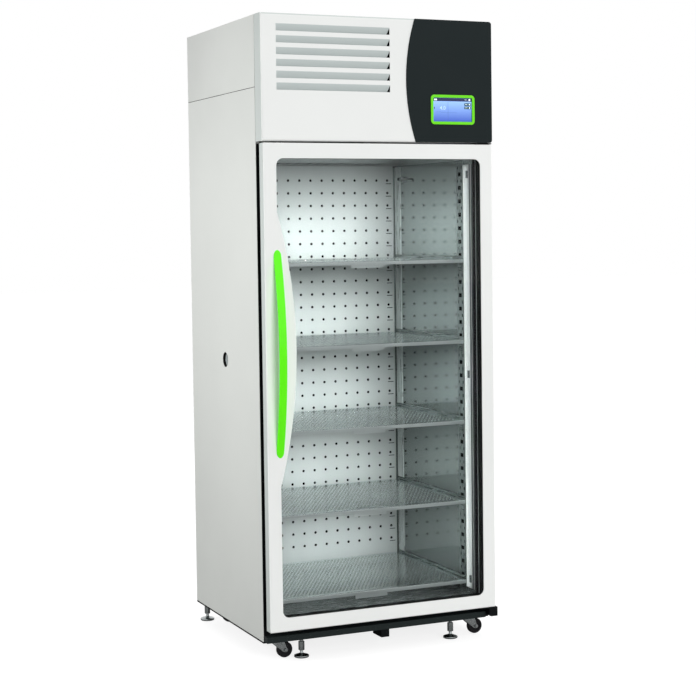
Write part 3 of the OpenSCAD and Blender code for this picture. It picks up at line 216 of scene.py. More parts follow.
def mark(piece: Piece, edges: Test | None = None, faces: Test | None = None) -> None:
    """Enter edit mode with the wanted edges or faces selected.

    Args:
        piece: The mesh to edit.
        edges: Test on an edge's two ends.
        faces: Test on a face's centre and normal.
    """
    pick(piece)
    mesh = piece.data
    bpy.ops.object.mode_set(mode="EDIT")
    bpy.ops.mesh.select_mode(type="EDGE" if edges else "FACE")
    bpy.ops.mesh.select_all(action="DESELECT")
    done()
    if edges:
        for edge in mesh.edges:
            a, b = (mesh.vertices[i].co for i in edge.vertices)
            edge.select = edges(a, b)
    if faces:
        for face in mesh.polygons:
            face.select = faces(face.center, face.normal)
    bpy.ops.object.mode_set(mode="EDIT")


def done() -> None:
    """Leave edit mode."""
    bpy.ops.object.mode_set(mode="OBJECT")


def round_edges(piece: Piece, radius: float, test: Test, steps: int = 4) -> Piece:
    """Round the edges that pass a test.

    Args:
        piece: The mesh to round.
        radius: Radius of the rounding.
        test: Test on an edge's two ends.
        steps: Segments across the rounding.

    Returns:
        The same piece.
    """
    mark(piece, edges=test)
    bpy.ops.mesh.bevel(offset=radius, segments=steps, affect="EDGES", clamp_overlap=True)
    done()
    return piece


def along(axis: Axis, where: Callable[[Vector], bool] = lambda p: True) -> Test:
    """Make a test for edges that run along an axis.

    Args:
        axis: The axis.
        where: Test that the middle of an edge also passes.

    Returns:
        The test on an edge's two ends.
    """
    others = [i for i in range(3) if i != axis.index]
    return lambda a, b: all(abs(a[i] - b[i]) < 1e-6 for i in others) and where((a + b) / 2)


def on_plane(axis: Axis, value: float, slack: float = 1e-5) -> Test:
    """Make a test for edges that lie in one plane across an axis."""
    return lambda a, b: abs(a[axis.index] - value) < slack and abs(b[axis.index] - value) < slack


def modify(piece: Piece, kind: str, **settings: object) -> Piece:
    """Add a modifier and apply it.

    Args:
        piece: The mesh to change.
        kind: Type of the modifier.
        settings: Its settings.

    Returns:
        The same piece.
    """
    pick(piece)
    modifier = piece.modifiers.new(kind.lower(), kind)
    for key, value in settings.items():
        setattr(modifier, key, value)
    bpy.ops.object.modifier_apply(modifier=modifier.name)
    return piece


def combine(piece: Piece, operation: str, *others: Piece) -> Piece:
    """Join, cut or cross a piece with others, and delete those.

    Args:
        piece: The mesh that stays.
        operation: UNION, DIFFERENCE or INTERSECT.
        others: The meshes that it is combined with, one after another.

    Returns:
        The same piece.
    """
    for other in others:
        modify(piece, "BOOLEAN", object=other, operation=operation, solver="EXACT")
        bpy.data.objects.remove(other)
    return piece


def carve(piece: Piece, *cutters: Piece) -> Piece:
    """Cut the cutters out of a piece, and delete them."""
    return combine(piece, "DIFFERENCE", *cutters)


def repeat(piece: Piece, *rows: tuple[Axis, int, float], weld: bool = False) -> Piece:
    """Repeat a piece in rows.

    Args:
        piece: The first copy.
        rows: Direction, number and step of each row.
        weld: Merge neighbours where they meet.

    Returns:
        All the copies in one mesh.
    """
    for axis, count, step in rows:
        offset = Vector((0.0, 0.0, 0.0))
        offset[axis.index] = step
        modify(piece, "ARRAY", count=count, use_relative_offset=False, use_constant_offset=True,
               constant_offset_displace=offset, use_merge_vertices=weld, merge_threshold=1e-5)
    return piece


def fuse(name: str, *parts: Piece) -> Piece:
    """Join parts into one object.

    Args:
        name: Name of the joined object.
        parts: The parts, of which the first takes in the others.

    Returns:
        The joined object.
    """
    whole = parts[0]
    bpy.ops.object.select_all(action="DESELECT")
    for part in parts:
        part.select_set(True)
    bpy.context.view_layer.objects.active = whole
    if len(parts) > 1:
        bpy.ops.object.join()
    whole.name = name
    whole.data.name = name
    return whole


def soften(piece: Piece, width: float, steps: int = 2, angle: float = 35.0) -> Piece:
    """Round all sharp edges a little and shade the piece smooth between them."""
    modify(piece, "BEVEL", width=width, segments=steps, limit_method="ANGLE",
           angle_limit=math.radians(angle), harden_normals=False, use_clamp_overlap=True)
    return smooth(piece, angle)


def smooth(piece: Piece, angle: float = 35.0) -> Piece:
    """Shade a piece smooth, and keep its large faces flat.

    Args:
        piece: The mesh to shade.
        angle: Faces that meet at less than this angle are shaded as one.

    Returns:
        The same piece.
    """
    pick(piece)
    bpy.ops.object.shade_smooth_by_angle(angle=math.radians(angle))
    return modify(piece, "WEIGHTED_NORMAL", keep_sharp=True, weight=80)


def spun(name: str, centre: Iterable[float], profile: Profile, axis: Axis = Axis.Z,
         steps: int = 40) -> Piece:
    """Turn a profile of radius and height about an axis.

    Args:
        name: Name of the new object.
        centre: Point on the axis at height 0.
        profile: Pairs of radius and height, from the bottom to the top, that start and end on the axis.
        axis: Direction of the axis.
        steps: Number of segments around.

    Returns:
        A closed lathe-turned piece.
    """
    bpy.ops.object.select_all(action="DESELECT")
    bpy.ops.mesh.primitive_circle_add(vertices=len(profile), radius=1, fill_type="NOTHING")
    piece = bpy.context.active_object
    for vertex, (radius, height) in zip(piece.data.vertices, profile):
        vertex.co = (radius, 0, height)
    mark(piece, edges=lambda a, b: max(a.x, b.x) < 1e-9)
    bpy.ops.mesh.delete(type="EDGE")
    bpy.ops.mesh.select_all(action="SELECT")
    bpy.ops.mesh.spin(steps=steps, angle=2 * math.pi, center=(0, 0, 0), axis=(0, 0, 1))
    bpy.ops.mesh.select_all(action="SELECT")
    bpy.ops.mesh.remove_doubles(threshold=1e-6)
    bpy.ops.mesh.normals_make_consistent(inside=False)
    done()
    piece.rotation_euler = axis.value
    piece.location = tuple(centre)
    return named(name)


def refined(node: str, width: float, steps: int = 2) -> Piece:
    """Make a merged copy of a CAD node with softened edges.

    Args:
        node: The CAD node.
        width: Width of the softened edges.
        steps: Segments across an edge.

    Returns:
        The new piece, named after the node.
    """
    source = bpy.data.objects[node]
    twin = source.copy()
    twin.data = source.data.copy()
    twin.parent = None
    for key in list(twin.keys()):
        del twin[key]
    bpy.context.scene.collection.objects.link(twin)
    twin.name = f"{node}_formed"
    twin.data.materials.clear()
    edit(twin)
    bpy.ops.mesh.remove_doubles(threshold=1e-6)
    bpy.ops.mesh.dissolve_limited(angle_limit=math.radians(0.5))
    done()
    return soften(twin, width, steps)


def hollow(span: Span, sheet: float) -> Piece:
    """Make the cutter that turns a block into a folded cover, open at the back.

    Args:
        span: Corners of the block.
        sheet: Thickness that the cover keeps.

    Returns:
        The cutter.
    """
    wall = Vector((sheet, sheet, sheet))
    return block("hollow", span.low + wall, span.high - wall + Vector((0, sheet + PAST, 0)))


def arc_radius(chord: float, rise: float) -> float:
    """Radius of the arc that rises this far over its chord."""
    return (chord ** 2 / 4 + rise ** 2) / (2 * rise)


# ---------------------------------------------------------------- dressing


def dress(piece: Piece, look: Finish, replaces: Iterable[str] = (),
          body: Body | str = Body.CABINET) -> Piece:
    """Give a new piece its finish and let it ride on its body.

    Args:
        piece: The finished mesh.
        look: The finish.
        replaces: CAD nodes that it stands for.
        body: The CAD body that it moves with.

    Returns:
        The same piece.
    """
    piece.data.materials.clear()
    piece.data.materials.append(look.material())
    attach(piece, body.value if isinstance(body, Body) else body)
    nodes = list(replaces)
    if nodes:
        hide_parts(*nodes)
    log.info("made %s on %s with %d faces", piece.name, body, len(piece.data.polygons))
    return piece


def form(node: str, width: float, look: Finish, body: Body = Body.CABINET,
         steps: int = 2) -> Piece:
    """Stand a copy with softened edges in for a CAD node, and dress it."""
    return dress(refined(node, width, steps), look, [node], body)


def accent(piece: Piece, look: Finish, test: Test) -> None:
    """Give some faces of a dressed piece another finish.

    Args:
        piece: The dressed piece.
        look: The other finish.
        test: Test on a face's centre and normal.
    """
    piece.data.materials.append(look.material())
    last = len(piece.data.materials) - 1
    for face in piece.data.polygons:
        if test(face.center, face.normal):
            face.material_index = last


def on_flank(low: Vector) -> Test:
    """Make a test for faces of a panel's left side, from its lowest corner; these faces get painted shade.
    """
    return lambda centre, normal: normal.x < -0.6 and centre.x < low.x + 1 * MM


def coat(node: str, look: Finish) -> None:
    """Give a CAD node that keeps its shape a finish.

    Args:
        node: The CAD node.
        look: The finish.
    """
    piece = bpy.data.objects[node]
    piece.data.materials.clear()
    piece.data.materials.append(look.material())
    log.info("coated %s with %s", node, look.name)


# ---------------------------------------------------------------- finishes


class NodeSheet:
    """Node tree of one material, with short ways to add and link nodes."""

    def __init__(self, name: str) -> None:
        """Start an empty material.

        Args:
            name: Its name.
        """
        self.material = bpy.data.materials.new(name)
        self.material.use_nodes = True
        self.tree = self.material.node_tree
        self.shader = self.tree.nodes["Principled BSDF"]
        self.place = self.add("ShaderNodeTexCoord")

    def add(self, kind: str, levels: dict[str, object] | None = None, **settings: object) -> bpy.types.Node:
        """Add a node.

        Args:
            kind: Type of the node.
            levels: Values of its inputs.
            settings: Its properties.

        Returns:
            The node.
        """
        node = self.tree.nodes.new(kind)
        for key, value in settings.items():
            setattr(node, key, value)
        for key, value in (levels or {}).items():
            node.inputs[key].default_value = value
        return node

    def join(self, source: Socket, target: Socket) -> None:
        """Link two sockets."""
        self.tree.links.new(source, target)

    def feed(self, name: str, source: Socket) -> None:
        """Link a socket to an input of the shader."""
        self.join(source, self.shader.inputs[name])

    def level(self, name: str, value: float | tuple[float, ...]) -> None:
        """Set an input of the shader."""
        self.shader.inputs[name].default_value = value

    def noise(self, scale: float, detail: float = 2.0, stretch: Point = (1, 1, 1)) -> Socket:
        """Make noise in object coordinates.

        Args:
            scale: Its fineness.
            detail: Its number of finer layers.
            stretch: Factors on the coordinates.

        Returns:
            The noise's value.
        """
        mapping = self.add("ShaderNodeMapping", {"Scale": stretch})
        self.join(self.place.outputs["Object"], mapping.inputs["Vector"])
        node = self.add("ShaderNodeTexNoise", {"Scale": scale, "Detail": detail})
        self.join(mapping.outputs["Vector"], node.inputs["Vector"])
        return node.outputs["Fac"]

    def ranged(self, value: Socket, low: float, high: float) -> Socket:
        """Spread a noise over a new range.

        Args:
            value: The noise, whose middle part lies from 0.3 to 0.7.
            low: Result at 0.3.
            high: Result at 0.7.

        Returns:
            The result.
        """
        node = self.add("ShaderNodeMapRange",
                        {"From Min": 0.3, "From Max": 0.7, "To Min": low, "To Max": high})
        self.join(value, node.inputs["Value"])
        return node.outputs["Result"]

    def rising(self, low: float, high: float) -> Socket:
        """Make a value that rises with height.

        Args:
            low: Height at which it leaves 0.
            high: Height at which it reaches 1.

        Returns:
            The value.
        """
        split = self.add("ShaderNodeSeparateXYZ")
        self.join(self.place.outputs["Object"], split.inputs["Vector"])
        fade = self.add("ShaderNodeMapRange", {"From Min": low, "From Max": high})
        self.join(split.outputs["Z"], fade.inputs["Value"])
        return fade.outputs["Result"]

    def between(self, value: Socket, a: Colour, b: Colour) -> Socket:
        """Make a colour between two colours.

        Args:
            value: Share of the second colour.
            a: The first colour.
            b: The second colour.

        Returns:
            The colour.
        """
        node = self.add("ShaderNodeMix", {"A": (*a, 1), "B": (*b, 1)}, data_type="RGBA")
        self.join(value, node.inputs["Factor"])
        return node.outputs["Result"]

    def uneven(self, noise: Socket, roughness: float, less: float, more: float) -> None:
        """Let a noise vary the roughness from a little less to a little more."""
        self.feed("Roughness", self.ranged(noise, roughness - less, roughness + more))

    def cloudy(self, noise: Socket, colour: Colour, low: float, high: float) -> Socket:
        """Colour that a noise varies between a darker and a lighter one."""
        return self.between(self.ranged(noise, 0, 1), shade(colour, low), shade(colour, high))

    def darken_for_shade(self, colour: Socket, value: Socket, low: float) -> Socket:
        """Darken a colour where a value is low.

        Args:
            colour: The colour.
            value: The value, from 0 to 1.
            low: Factor on the colour where the value is 0.

        Returns:
            The darkened colour.
        """
        node = self.add("ShaderNodeMix", {"Factor": 1.0}, data_type="RGBA", blend_type="MULTIPLY")
        self.join(colour, node.inputs["A"])
        self.join(self.between(value, (low, low, low), (1, 1, 1)), node.inputs["B"])
        return node.outputs["Result"]

    def bump(self, height: Socket, strength: float, distance: float) -> None:
        """Bump the surface.

        Args:
            height: Height of the relief.
            strength: Its strength.
            distance: Its depth.
        """
        node = self.add("ShaderNodeBump", {"Strength": strength, "Distance": distance})
        self.join(height, node.inputs["Height"])
        self.feed("Normal", node.outputs["Normal"])


def shade(colour: Colour, factor: float) -> Colour:
    """Lighter or darker version of a colour."""
    return tuple(min(1.0, c * factor) for c in colour)


@dataclass(frozen=True)
class Finish:
    """Common part of every finish: each is made once and shared."""

    name: str
    colour: Colour
    roughness: float = 0.4

    def material(self) -> bpy.types.Material:
        """Find the finish's material, or make it.

        Returns:
            The material.
        """
        found = bpy.data.materials.get(self.name)
        if found:
            return found
        sheet = NodeSheet(self.name)
        sheet.level("Base Color", (*self.colour, 1))
        sheet.level("Roughness", self.roughness)
        self.paint(sheet)
        return sheet.material

    def paint(self, sheet: NodeSheet) -> None:
        """Add this finish's own nodes."""
        raise NotImplementedError


@dataclass(frozen=True)
class PowderCoat(Finish):
    """Baked paint on sheet steel with a fine orange peel."""

    peel: float = 0.12
    grain: float = 900.0
    cloud: float = 0.025
    shine: float = 0.35

    def paint(self, sheet: NodeSheet) -> None:
        """Add a cloudy tone, uneven gloss and orange peel.

        Args:
            sheet: The material's nodes.
        """
        sheet.level("Specular IOR Level", self.shine)
        clouds = sheet.noise(2.2, 3)
        sheet.feed("Base Color", sheet.cloudy(clouds, self.colour, 1 - self.cloud, 1 + self.cloud))
        sheet.uneven(sheet.noise(14, 3), self.roughness, 0.04, 0.05)
        sheet.bump(sheet.noise(self.grain, 1), self.peel, 0.2 * MM)


@dataclass(frozen=True)
class Moulded(Finish):
    """Moulded plastic or rubber with a fine texture."""

    texture: float = 1400.0
    relief: float = 0.15
    gloss: float = 0.0
    shine: float = 0.3

    def paint(self, sheet: NodeSheet) -> None:
        """Add an even tone with a fine grain and faint handling marks.

        Args:
            sheet: The material's nodes.
        """
        sheet.level("Specular IOR Level", self.shine)
        sheet.level("Coat Weight", self.gloss)
        sheet.level("Coat Roughness", 0.06)
        sheet.feed("Base Color", sheet.cloudy(sheet.noise(30, 2), self.colour, 0.98, 1.02))
        sheet.uneven(sheet.noise(60, 3), self.roughness, 0.02, 0.03)
        sheet.bump(sheet.noise(self.texture, 1), self.relief, 0.1 * MM)


@dataclass(frozen=True)
class Steel(Finish):
    """Bare metal: rolled, brushed or polished along one direction.

    The floor shade is painted shade that darkens the colour towards the chamber's floor: the factor on its
    colour there. It is 1 for an even colour.
    """

    brushing: Point = (1, 1, 1)
    streak: float = 0.05
    scratch: float = 0.015
    cloud: float = 0.06
    metal: float = 1.0
    floor_shade: float = 1.0
    bands: Point = (1, 1, 1)

    def paint(self, sheet: NodeSheet) -> None:
        """Add brushed streaks in gloss and height, and a cloudy colour.

        Args:
            sheet: The material's nodes.
        """
        sheet.level("Metallic", self.metal)
        clouds = sheet.noise(5, 2, self.bands)
        colour = sheet.cloudy(clouds, self.colour, 1 - self.cloud, 1 + self.cloud)
        # painted shade: the colour darkens from 1.5 m down to the chamber's floor
        if self.floor_shade < 1:
            colour = sheet.darken_for_shade(colour, sheet.rising(0.1, 1.5), self.floor_shade)
        sheet.feed("Base Color", colour)
        line = sheet.noise(260, 2, self.brushing)
        sheet.uneven(line, self.roughness, self.streak, self.streak)
        sheet.bump(line, self.scratch, 0.1 * MM)


@dataclass(frozen=True)
class Plated(Finish):
    """Zinc or chrome plating with small cast dimples."""

    dimple: float = 0.03

    def paint(self, sheet: NodeSheet) -> None:
        """Add mottled plating.

        Args:
            sheet: The material's nodes.
        """
        sheet.level("Metallic", 1.0)
        sheet.feed("Base Color", sheet.cloudy(sheet.noise(120, 3), self.colour, 0.86, 1.06))
        sheet.uneven(sheet.noise(90, 2), self.roughness, 0.05, 0.08)
        sheet.bump(sheet.noise(400, 2), self.dimple, 0.2 * MM)


@dataclass(frozen=True)
class Pane(Finish):
    """Clear coated glass: it mirrors at a flat angle and is see-through from the front."""

    bending: float = 1.15

    def paint(self, sheet: NodeSheet) -> None:
        """Add a mirror whose cover follows Fresnel's law.

        Args:
            sheet: The material's nodes.
        """
        fresnel = sheet.add("ShaderNodeFresnel", {"IOR": self.bending})
        sheet.level("Metallic", 1.0)
        sheet.uneven(sheet.noise(8, 3), self.roughness, 0.0, 0.01)
        sheet.feed("Alpha", fresnel.outputs["Fac"])


@dataclass(frozen=True)
class Lamp(Finish):
    """Frosted cover or display that gives off a little light."""

    glow: float = 1.0

    def paint(self, sheet: NodeSheet) -> None:
        """Add a glow with a slightly uneven tone.

        Args:
            sheet: The material's nodes.
        """
        tone = sheet.cloudy(sheet.noise(40, 2), self.colour, 0.94, 1.0)
        sheet.feed("Base Color", tone)
        sheet.feed("Emission Color", tone)
        sheet.level("Emission Strength", self.glow)


@dataclass(frozen=True)
class DisplayFace(Finish):
    """Display whose picture fades from pale at the top to deep at the bottom."""

    deep: Colour = (0.035, 0.085, 0.44)
    low: float = 0.0
    high: float = 1.0
    glow: float = 0.55

    def paint(self, sheet: NodeSheet) -> None:
        """Add an upright fade over the height of the display.

        Args:
            sheet: The material's nodes.
        """
        tone = sheet.between(sheet.rising(self.low, self.high), self.deep, self.colour)
        sheet.feed("Base Color", tone)
        sheet.feed("Emission Color", tone)
        sheet.level("Emission Strength", self.glow)
        sheet.uneven(sheet.noise(50, 2), self.roughness, 0.0, 0.04)


WHITE_COAT = PowderCoat("white_coat", (0.87, 0.885, 0.87), 0.36)
SIDE_COAT = PowderCoat("side_coat", (0.80, 0.825, 0.79), 0.42)
# darker copy of the white paint: painted shade on the left faces and top front edges
FLANK_SHADE_COAT = PowderCoat("painted_flank_shade", (0.66, 0.715, 0.69), 0.42)
# grey copy of the white paint: painted shade on the pressed louvre blades
BLADE_SHADE_COAT = PowderCoat("painted_blade_shade", (0.62, 0.68, 0.67), 0.42)
BACK_COAT = PowderCoat("back_coat", (0.74, 0.755, 0.725), 0.45)
GRAPHITE_COAT = PowderCoat("graphite_coat", (0.011, 0.0165, 0.0175), 0.36, peel=0.2, shine=0.14)
BLACK_COAT = PowderCoat("black_coat", (0.004, 0.005, 0.0055), 0.42, peel=0.2, cloud=0.1, shine=0.12)
KICK_COAT = PowderCoat("kick_coat", (0.013, 0.018, 0.018), 0.48, peel=0.2, cloud=0.1, shine=0.2)
BLACK_MOULDED = Moulded("black_moulded", (0.004, 0.005, 0.005), 0.5, shine=0.15)
SEAL = Moulded("seal", (0.010, 0.010, 0.011), 0.6, texture=900, shine=0.15)
SEAL_FOOT = Moulded("seal_foot", (0.30, 0.34, 0.335), 0.5, texture=900)
TYRE = Moulded("tyre", (0.006, 0.006, 0.007), 0.55, texture=700)
BUNG = Moulded("bung", (0.42, 0.47, 0.47), 0.7, texture=500)
LIME = Moulded("lime_gloss", (0.13, 0.98, 0.005), 0.3, relief=0.02, gloss=0.25)
LIME_RIM = Moulded("lime_rim", (0.17, 0.80, 0.008), 0.3, relief=0.02, gloss=0.25)
RED_ROCKER = Moulded("red_rocker", (0.45, 0.015, 0.010), 0.3, relief=0.04, gloss=0.3)
# the duct panel and the walls carry painted shade that darkens them towards the floor
DUCT_STEEL = Steel("duct_steel", (0.455, 0.51, 0.50), 0.42, brushing=(0.05, 1, 1), cloud=0.06, metal=0.3,
                   floor_shade=0.66, bands=(1.2, 1, 0.25))
WALL_STEEL = Steel("wall_steel", (0.41, 0.46, 0.455), 0.08, brushing=(1, 1, 0.03), streak=0.03,
                   scratch=0.008, metal=0.85, floor_shade=0.5)
SHELF_STEEL = Steel("shelf_steel", (0.85, 0.92, 0.91), 0.2, brushing=(0.05, 1, 1), metal=0.93)
# rougher, less metallic copy of the shelf steel whose darker colour is painted shade on the shelves' front
# lips
LIP_SHADE_STEEL = Steel("painted_lip_shade", (0.40, 0.45, 0.445), 0.35, brushing=(0.05, 1, 1), metal=0.6)
RAIL_STEEL = Steel("rail_steel", (0.30, 0.34, 0.335), 0.28, brushing=(1, 0.05, 1))
STRIP_STEEL = Steel("strip_steel", (0.30, 0.34, 0.335), 0.3, brushing=(1, 1, 0.05))
# lighter copy of the strip steel: painted light on the rear corner strips
REAR_LIT_STEEL = Steel("painted_rear_strip_light", (0.70, 0.76, 0.75), 0.3, brushing=(1, 1, 0.05), metal=0.6)
# near-black copy of the stainless: painted shade on the chamber's ceiling
CEILING_SHADE_STEEL = Steel("painted_ceiling_shade", (0.12, 0.135, 0.135), 0.3, brushing=(0.05, 1, 1))
FLOOR_STEEL = Steel("floor_steel", (0.38, 0.43, 0.425), 0.25, brushing=(0.05, 1, 1), metal=0.7)
LAMP_METAL = Steel("lamp_metal", (0.72, 0.77, 0.76), 0.4, brushing=(1, 1, 0.05), metal=0.4)
# dark copy of the steel: painted shade in the lamp channel's groove
GROOVE_SHADE_STEEL = Steel("painted_groove_shade", (0.20, 0.22, 0.22), 0.4, brushing=(1, 1, 0.05))
GALVANISED = Plated("galvanised", (0.60, 0.62, 0.62), 0.4)
ZINC = Plated("zinc_plate", (0.46, 0.49, 0.49), 0.25)
CHROME = Plated("chrome", (0.42, 0.45, 0.45), 0.2)
ALUMINIUM = Steel("aluminium", (0.62, 0.63, 0.63), 0.4)
COPPER = Plated("copper_tube", (0.72, 0.35, 0.18), 0.3)
SHADOW = Moulded("slot_shadow", (0.003, 0.0035, 0.004), 0.8, shine=0.05)
# near-black colour on the insulation: painted shade inside the duct, seen through its holes
FOAM_SHADE = Moulded("painted_foam_shade", (0.03, 0.034, 0.034), 0.8, texture=300)
BOX_FOAM = Moulded("box_foam", (0.52, 0.50, 0.42), 0.8, texture=300)
GLASS = Pane("door_pane", (0.95, 0.97, 0.96), 0.01)
FROSTED = Lamp("lamp_cover", (0.66, 0.71, 0.70), 0.35, glow=0.28)
PICTURE_NAVY = Lamp("picture_navy", (0.012, 0.016, 0.07), 0.2, glow=0.6)
PICTURE_PALE = Lamp("picture_pale", (0.80, 0.92, 1.0), 0.2, glow=0.8)
PICTURE_GREEN = Lamp("picture_green", (0.008, 0.055, 0.045), 0.2, glow=0.4)
PICTURE_SLATE = Lamp("picture_slate", (0.055, 0.12, 0.33), 0.2, glow=0.6)
PICTURE_DIGITS = Lamp("picture_digits", (0.42, 0.60, 0.92), 0.2, glow=0.6)


# ---------------------------------------------------------------- header


@dataclass
class Header:
    """Front header with its formed louvres and bowed dark fascia."""

    sheet: float = 2 * MM
    corner: float = 9 * MM
    front_edge: float = 6 * MM
    louvres: int = 6
    louvre_left: float = 50 * MM
    louvre_long: float = 379 * MM
    louvre_high: float = 21.7 * MM
    louvre_pitch: float = 35.4 * MM
    louvre_drop: float = 31.5 * MM
    louvre_deep: float = 10 * MM
    louvre_slant: float = 7 * MM
    blade_sheet: float = 1.2 * MM
    seam: float = 2.2 * MM
    seam_deep: float = 6 * MM
    shade_wide: float = 450 * MM
    fascia_wide: float = 272 * MM
    fascia_bow: float = 31 * MM
    fascia_edge: float = 0.9 * MM
    rim: float = DISPLAY_RIM

    def build(self) -> None:
        """Make the cover, its blades and the fascia."""
        self.cover = Span.of("header_cover")
        self.left = self.cover.low.x + self.louvre_left
        self.right = self.left + self.louvre_long
        self.make_cover()
        self.make_seam()
        self.make_louvres()
        self.make_fascia()

    def slot_low(self, row: int) -> float:
        """Height of the lower edge of a louvre's slot."""
        return self.cover.high.z - self.louvre_drop - self.louvre_high - row * self.louvre_pitch

    def window(self, low_y: float, high_y: float) -> Piece:
        """Make the cutter for the display's opening.

        Args:
            low_y: Its front.
            high_y: Its back.

        Returns:
            The cutter.
        """
        bezel = Span.of("screen_bezel")
        low, high = bezel.low, bezel.high
        return block("opening", (low.x + self.rim, low_y, low.z + self.rim),
                     (high.x - self.rim, high_y, high.z - self.rim))

    def make_cover(self) -> None:
        """Folded sheet cover with round corners and slots."""
        low, high = self.cover.low, self.cover.high
        cover = block("header_shell", low, high)
        round_edges(cover, self.corner, along(Axis.Y, lambda p: p.x > 0), 6)
        round_edges(cover, self.front_edge, on_plane(Axis.Y, low.y), 6)
        slots = [block(f"slot{i}", (self.left, low.y - PAST, self.slot_low(i)),
                       (self.right, low.y + PAST, self.slot_low(i) + self.louvre_high))
                 for i in range(self.louvres)]
        gap = block("gap", (low.x - PAST, high.y - self.seam, low.z - PAST),
                    (low.x + 2 * PAST, high.y + PAST, high.z + PAST))
        carve(cover, hollow(self.cover, self.sheet), *slots, self.window(low.y - PAST, low.y + PAST), gap)
        smooth(cover, 40)
        dress(cover, WHITE_COAT, ["header_cover"])
        # painted shade: the left face and the top front edge get a darker copy of the white paint
        flank, edge = on_flank(low), low.y + self.front_edge
        accent(cover, FLANK_SHADE_COAT,
               lambda centre, normal: flank(centre, normal) or (normal.z > 0.2 and centre.y < edge))

    def make_seam(self) -> None:
        """Dark strip of painted shade behind the seam along the left side."""
        low, high = self.cover.low, self.cover.high
        seam = block("header_seam_shade", (low.x + 0.6 * MM, high.y - self.seam_deep, low.z + 0.5 * MM),
                     (low.x + 3 * MM, high.y - 0.1 * MM, high.z - 0.5 * MM))
        dress(soften(seam, 0.2 * MM), SHADOW)

    def make_louvres(self) -> None:
        """Blades in the slots, in a grey copy of the white paint as painted shade, with a dark sheet of
        painted shadow behind them.
        """
        low, high = self.cover.low, self.cover.high
        blades = [self.blade(i) for i in range(self.louvres)]
        dress(fuse("louvre_blades", *blades), BLADE_SHADE_COAT)
        left = self.left - 20 * MM
        back = block("louvre_shadow", (left, high.y - 6 * MM, low.z + 130 * MM),
                     (left + self.shade_wide, high.y - 4 * MM, high.z - 8 * MM))
        dress(soften(back, 0.5 * MM), SHADOW)

    def blade(self, row: int) -> Piece:
        """Make a blade that curves inwards from the upper edge of its slot.

        Args:
            row: Number of its slot, from the top.

        Returns:
            The blade.
        """
        front, low = self.cover.low.y, self.slot_low(row)
        high = low + self.louvre_high
        blade = block(f"blade{row}", (self.left, front, low + 1 * MM),
                      (self.right, front + self.blade_sheet, high))
        mark(blade, edges=along(Axis.Z))
        bpy.ops.mesh.subdivide(number_cuts=10)
        done()
        for vertex in blade.data.vertices:
            share = max(0.0, (high - vertex.co.z) / self.louvre_high)
            vertex.co.y += self.louvre_deep * (share ** 1.15)
            if vertex.co.x > self.right - 1 * MM:
                vertex.co.x -= self.louvre_slant * share
        return smooth(blade, 50)

    def make_fascia(self) -> None:
        """Dark plate with one bowed side and an opening for the display."""
        node = Span.of("fascia")
        low, high = node.low, node.high
        bow_side = high.x - self.fascia_wide
        radius = arc_radius(node.size.z, self.fascia_bow)
        plate = block("fascia_plate", low, high)
        round_edges(plate, self.corner, along(Axis.Y, lambda p: p.x > bow_side), 8)
        bow = drum("bow", (bow_side - self.fascia_bow + radius, node.middle.y, node.middle.z), radius,
                   10 * PAST, Axis.Y, 720)
        square = block("square", (bow_side + 5 * PAST, low.y - PAST, low.z - PAST),
                       (high.x + PAST, high.y + PAST, high.z + PAST))
        combine(bow, "UNION", square)
        combine(plate, "INTERSECT", bow)
        carve(plate, self.window(low.y - PAST, high.y + PAST))
        soften(plate, self.fascia_edge, 3, 50)
        dress(plate, GRAPHITE_COAT, ["fascia"])


